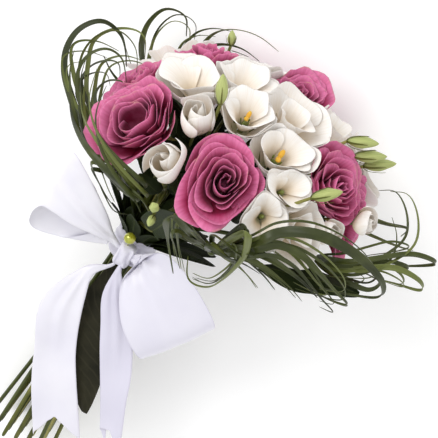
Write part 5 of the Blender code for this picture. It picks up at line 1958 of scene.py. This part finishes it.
@dataclass
class WrapLook:
    """The knot and the band: ribbon wound tightly, with soft ridges."""

    knot_place: Point
    knot_size: Point = (8.5, 10.5, 7.5)
    band_height: float = 25.0
    ridge: float = 0.55

    def knot(self, workshop: Workshop) -> None:
        """Makes the knot."""
        mould = Mould()
        centre = seen(*self.knot_place)
        # Its tone of 0.5 paints the knot half way into the satin's shade.
        corners = mould.ball(Vector((0, 0, 0)), UP, (1.0, 1.0), 0.5, sides=48)
        for corner in corners:
            x, y, z = corner.co
            shaped = [math.copysign(abs(value) ** 0.62, value) for value in (x, y, z)]
            fold = 1.0 + 0.16 * math.sin(7.0 * x + 3.5 * z + 1.0) * (1.0 - 0.4 * z * z)
            pinch = 1.0 - 0.25 * (1.0 - abs(z))
            groove = 1.0 - 0.13 * math.exp(-((x - 0.25 - 0.25 * z) / 0.13) ** 2) - 0.11 * math.exp(
                -((x + 0.38 + 0.2 * z) / 0.11) ** 2)
            corner.co = centre + Vector((shaped[0] * self.knot_size[0] * pinch,
                                         shaped[1] * self.knot_size[2] * fold * groove,
                                         shaped[2] * self.knot_size[1]))
        workshop.finish("ribbon_knot_cloth", mould, [workshop.finishes.satin], Slot.SATIN,
                        ["ribbon_knot"])

    def band(self, workshop: Workshop) -> None:
        """Makes the band of ribbon round the stems."""
        low, high = (Vector(corner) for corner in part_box("ribbon_band"))
        outer = 0.5 * (high.x - low.x) / MM
        mould = Mould()

        def place(u: float, v: float) -> Vector:
            """A point of the band's wound cloth.

            Args:
                u: Place around, from -1 to 1.
                v: Place up the band, from 0 to 1.

            Returns:
                The point.
            """
            angle = math.pi * u
            level = self.band_height * (v - 0.5)
            fold = self.ridge * math.sin(2.0 * math.pi * 4.0 * v + 1.3 * math.sin(angle))
            reach = outer - 0.75 + fold * 0.7 - 1.0 * ease(0.6, 1.0, v)
            return WAIST + Vector((reach * math.cos(angle), reach * math.sin(angle), level - BAND_DROP))

        # Its tone of 0.5 paints the band half way into the satin's shade.
        corners = mould.patch(48, 34, place, 0.5)
        bmesh.ops.remove_doubles(mould.bm, verts=corners, dist=1e-4)
        workshop.finish("ribbon_band_cloth", mould, [workshop.finishes.satin], Slot.SATIN,
                        ["ribbon_band"], wall=BAND_WALL, smooth=1)


@dataclass
class PinLook:
    """A pearl-headed pin in the knot."""

    place: Point
    knot_place: Point
    radius: float = 4.8
    length: float = 9.0

    def build(self, workshop: Workshop) -> None:
        """Makes the pin."""
        pearl = seen(*self.place)
        inward = (seen(*self.knot_place) - pearl).normalized()
        mould = Mould()
        mould.ball(pearl, inward, (self.radius, self.radius), 0.5, 0, 40)
        mould.tube([pearl + inward * step for step in (0.0, 0.5 * self.length, self.length)],
                   lambda share: 0.5, 0.5, 8)
        mould.ball(pearl + inward * (0.93 * self.radius), inward, (1.3, 0.6), 0.5, 0, 16)
        workshop.finish("pearl_pin_look", mould, [workshop.finishes.pearl], Slot.PEARL, ["pearl_pin"])


@dataclass
class Studio:
    """The pale floor, the soft lights and the camera at the photograph's angle."""

    laid: Matrix
    target: tuple[float, float] = (11.4, -47.9)
    distance: float = 2200.0

    def build(self) -> None:
        """Sets up the studio."""
        scene = bpy.context.scene
        scene.view_settings.view_transform = "Standard"
        self.add_floor()
        for name, (place, size, power) in LIGHTS.items():
            self.add_light(name, Vector(place), size, power)
        world = bpy.data.worlds.new("studio_air")
        world.use_nodes = True
        background = world.node_tree.nodes["Background"]
        background.inputs["Color"].default_value = (1.0, 1.0, 1.0, 1.0)
        background.inputs["Strength"].default_value = 0.80
        scene.world = world
        self.add_camera()

    def add_floor(self) -> None:
        """Lays the floor."""
        bm = bmesh.new()
        bmesh.ops.create_grid(bm, x_segments=1, y_segments=1, size=6.0)
        mesh = bpy.data.meshes.new("floor")
        bm.to_mesh(mesh)
        bm.free()
        paper = Dressing("floor_paper")
        paper.colour(paper.blend(paper.scaled(paper.noise(3.0), 0.3, 0.7, 0.0, 1.0),
                                 (0.93, 0.93, 0.93), (0.95, 0.95, 0.95)))
        paper.set(Roughness=0.9, Emission_Strength=0.12)
        mesh.materials.append(paper.material)
        add_object("floor", mesh)

    def add_light(self, name: str, place: Vector, size: float, power: float) -> None:
        """Hangs a soft light that looks at the bouquet."""
        light = bpy.data.lights.new(name, "AREA")
        light.energy = power
        light.size = size
        lamp = add_object(name, light)
        lamp.location = place
        lamp.rotation_euler = (place - Vector((0.0, 0.0, 0.1))).to_track_quat("Z", "Y").to_euler()

    def add_camera(self) -> None:
        """Places the camera."""
        turn = self.laid.to_3x3().normalized()
        right = Vector((1.0, 0.0, 0.0))
        up = NEAR.cross(right)
        image_x = right * math.cos(PICTURE_ROLL) + up * math.sin(PICTURE_ROLL)
        image_y = up * math.cos(PICTURE_ROLL) - right * math.sin(PICTURE_ROLL)
        aim = right * self.target[0] + up * self.target[1]
        camera = bpy.data.cameras.new("camera")
        camera.sensor_width = SENSOR_WIDTH
        camera.lens = SENSOR_WIDTH * self.distance / (IMAGE_SIZE * MM_PER_PIXEL)
        camera.clip_end = 20.0
        holder = add_object("camera", camera)
        axes = Matrix([turn @ image_x, turn @ image_y, turn @ NEAR]).transposed()
        holder.matrix_world = Matrix.Translation(self.laid @ (aim + NEAR * self.distance)) @ axes.to_4x4()
        bpy.context.scene.camera = holder


def solid_blooms() -> dict[str, Bloom]:
    """The blooms as they are packed, with the resting ones settled on the floor.

    Returns:
        The blooms by name.
    """
    blooms = {name: Bloom(name, Kind(kind), Vector(place), radius, math.radians(turn))
              for name, (kind, place, radius, turn) in BLOOMS.items()}
    for name in RESTING:
        blooms[name].settle()
    return blooms


def make_blooms(workshop: Workshop, solids: dict[str, Bloom]) -> dict[str, Bloom]:
    """Makes every bloom, a little fuller than its solid.

    Args:
        workshop: Where the pieces are finished.
        solids: The blooms as they are packed.

    Returns:
        The blooms by name.
    """
    blooms = {}
    for name, solid in solids.items():
        usual = ROSE_FULLNESS if solid.kind is Kind.ROSE else LISIANTHUS_FULLNESS
        full = solid.radius * FULLNESS.get(name, usual)
        blooms[name] = Bloom(name, solid.kind, Vector(BLOOMS[name][1]), full, solid.turn)
        blooms[name].place = Vector(tenths([solid.place])[0])
    for bloom in blooms.values():
        bloom.share_with(list(blooms.values()))
    for bloom in blooms.values():
        if bloom.kind is Kind.ROSE:
            RoseLook(bloom, heart=ROSE_HEARTS.get(bloom.name, RoseLook.heart)).build(workshop)
        else:
            LisianthusLook(bloom).build(workshop)
    return blooms


def make_greens(workshop: Workshop, blooms: dict[str, Bloom], stems: Arrangement) -> None:
    """Makes the stems, sprays, grass and leaves.

    Args:
        workshop: Where the pieces are finished.
        blooms: The blooms by name.
        stems: How the stems run.
    """
    for name, bloom in blooms.items():
        if bloom.kind is Kind.ROSE:
            RoseStemLook(bloom, stems.stalk(name.replace("rose", "rose_stem"), name)).build(workshop)
    for name, (members, buds) in SPRAYS.items():
        tips = {f"{name}_bud_{k}": bud for k, bud in enumerate(buds)}
        branches = [(key, stems.route(key)) for key in (*members, *tips)]
        shapes = [BudShape(*SMALL_BUDS.get(key, bud)) for key, bud in tips.items()]
        SprayLook(name, stems.stalk(name), branches, shapes, blooms).build(workshop)
    BindingLeaves().build(workshop)
    for name in GRASS:
        GrassLook(name, stems.stalk(name), stems.blades(name), NEIGHBOURS[name]).build(workshop)
    for name, (width, points, side) in LEAVES.items():
        way = [seen(*point) for point in points]
        LeafLook(name, stems.stalk(name), way, width, Vector(side)).build(workshop)
    way = [seen(*point) for point in (WRAP_START, *WRAP_WAY)]
    top = Vector(tenths(stems.feet["leaf_wrap"])[-1])
    low = Vector((top.x, top.y, WAIST.z - 0.5 * STRAIGHT_LENGTH - 2.0))
    stalk = Stalk((way[0], low, top), (top, top + UP * 6.0))
    LeafLook("leaf_wrap", stalk, way, WRAP_WIDTH, Vector((1.0, 0.0, 0.0)), wave=1.8, rib_depth=0.0,
             taper=0.35).build(workshop)


def make_bow(workshop: Workshop) -> None:
    """Makes the bow, its band and the pin.

    Args:
        workshop: Where the pieces are finished.
    """
    wrap = WrapLook(KNOT_PLACE)
    wrap.knot(workshop)
    wrap.band(workshop)
    for name, (one, other) in RIBBON.items():
        notch = TAIL_NOTCH if "tail" in name else 0.0
        RibbonLook(name, one, other, notch, RIBBON_SHADOW[name]).build(workshop)
    PinLook(PIN_PLACE, KNOT_PLACE).build(workshop)
    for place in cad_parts["stem_tie"].material_slots:
        place.material = workshop.finishes.tape


def main() -> None:
    """Builds the whole scene."""
    logging.basicConfig(level=logging.INFO, format="%(message)s")
    laid = Lying().matrix()
    Studio(laid).build()
    workshop = Workshop(Finishes(), laid)
    solids = solid_blooms()
    blooms = make_blooms(workshop, solids)
    make_greens(workshop, blooms, Arrangement(solids))
    make_bow(workshop)


if __name__ == "__main__":
    main()
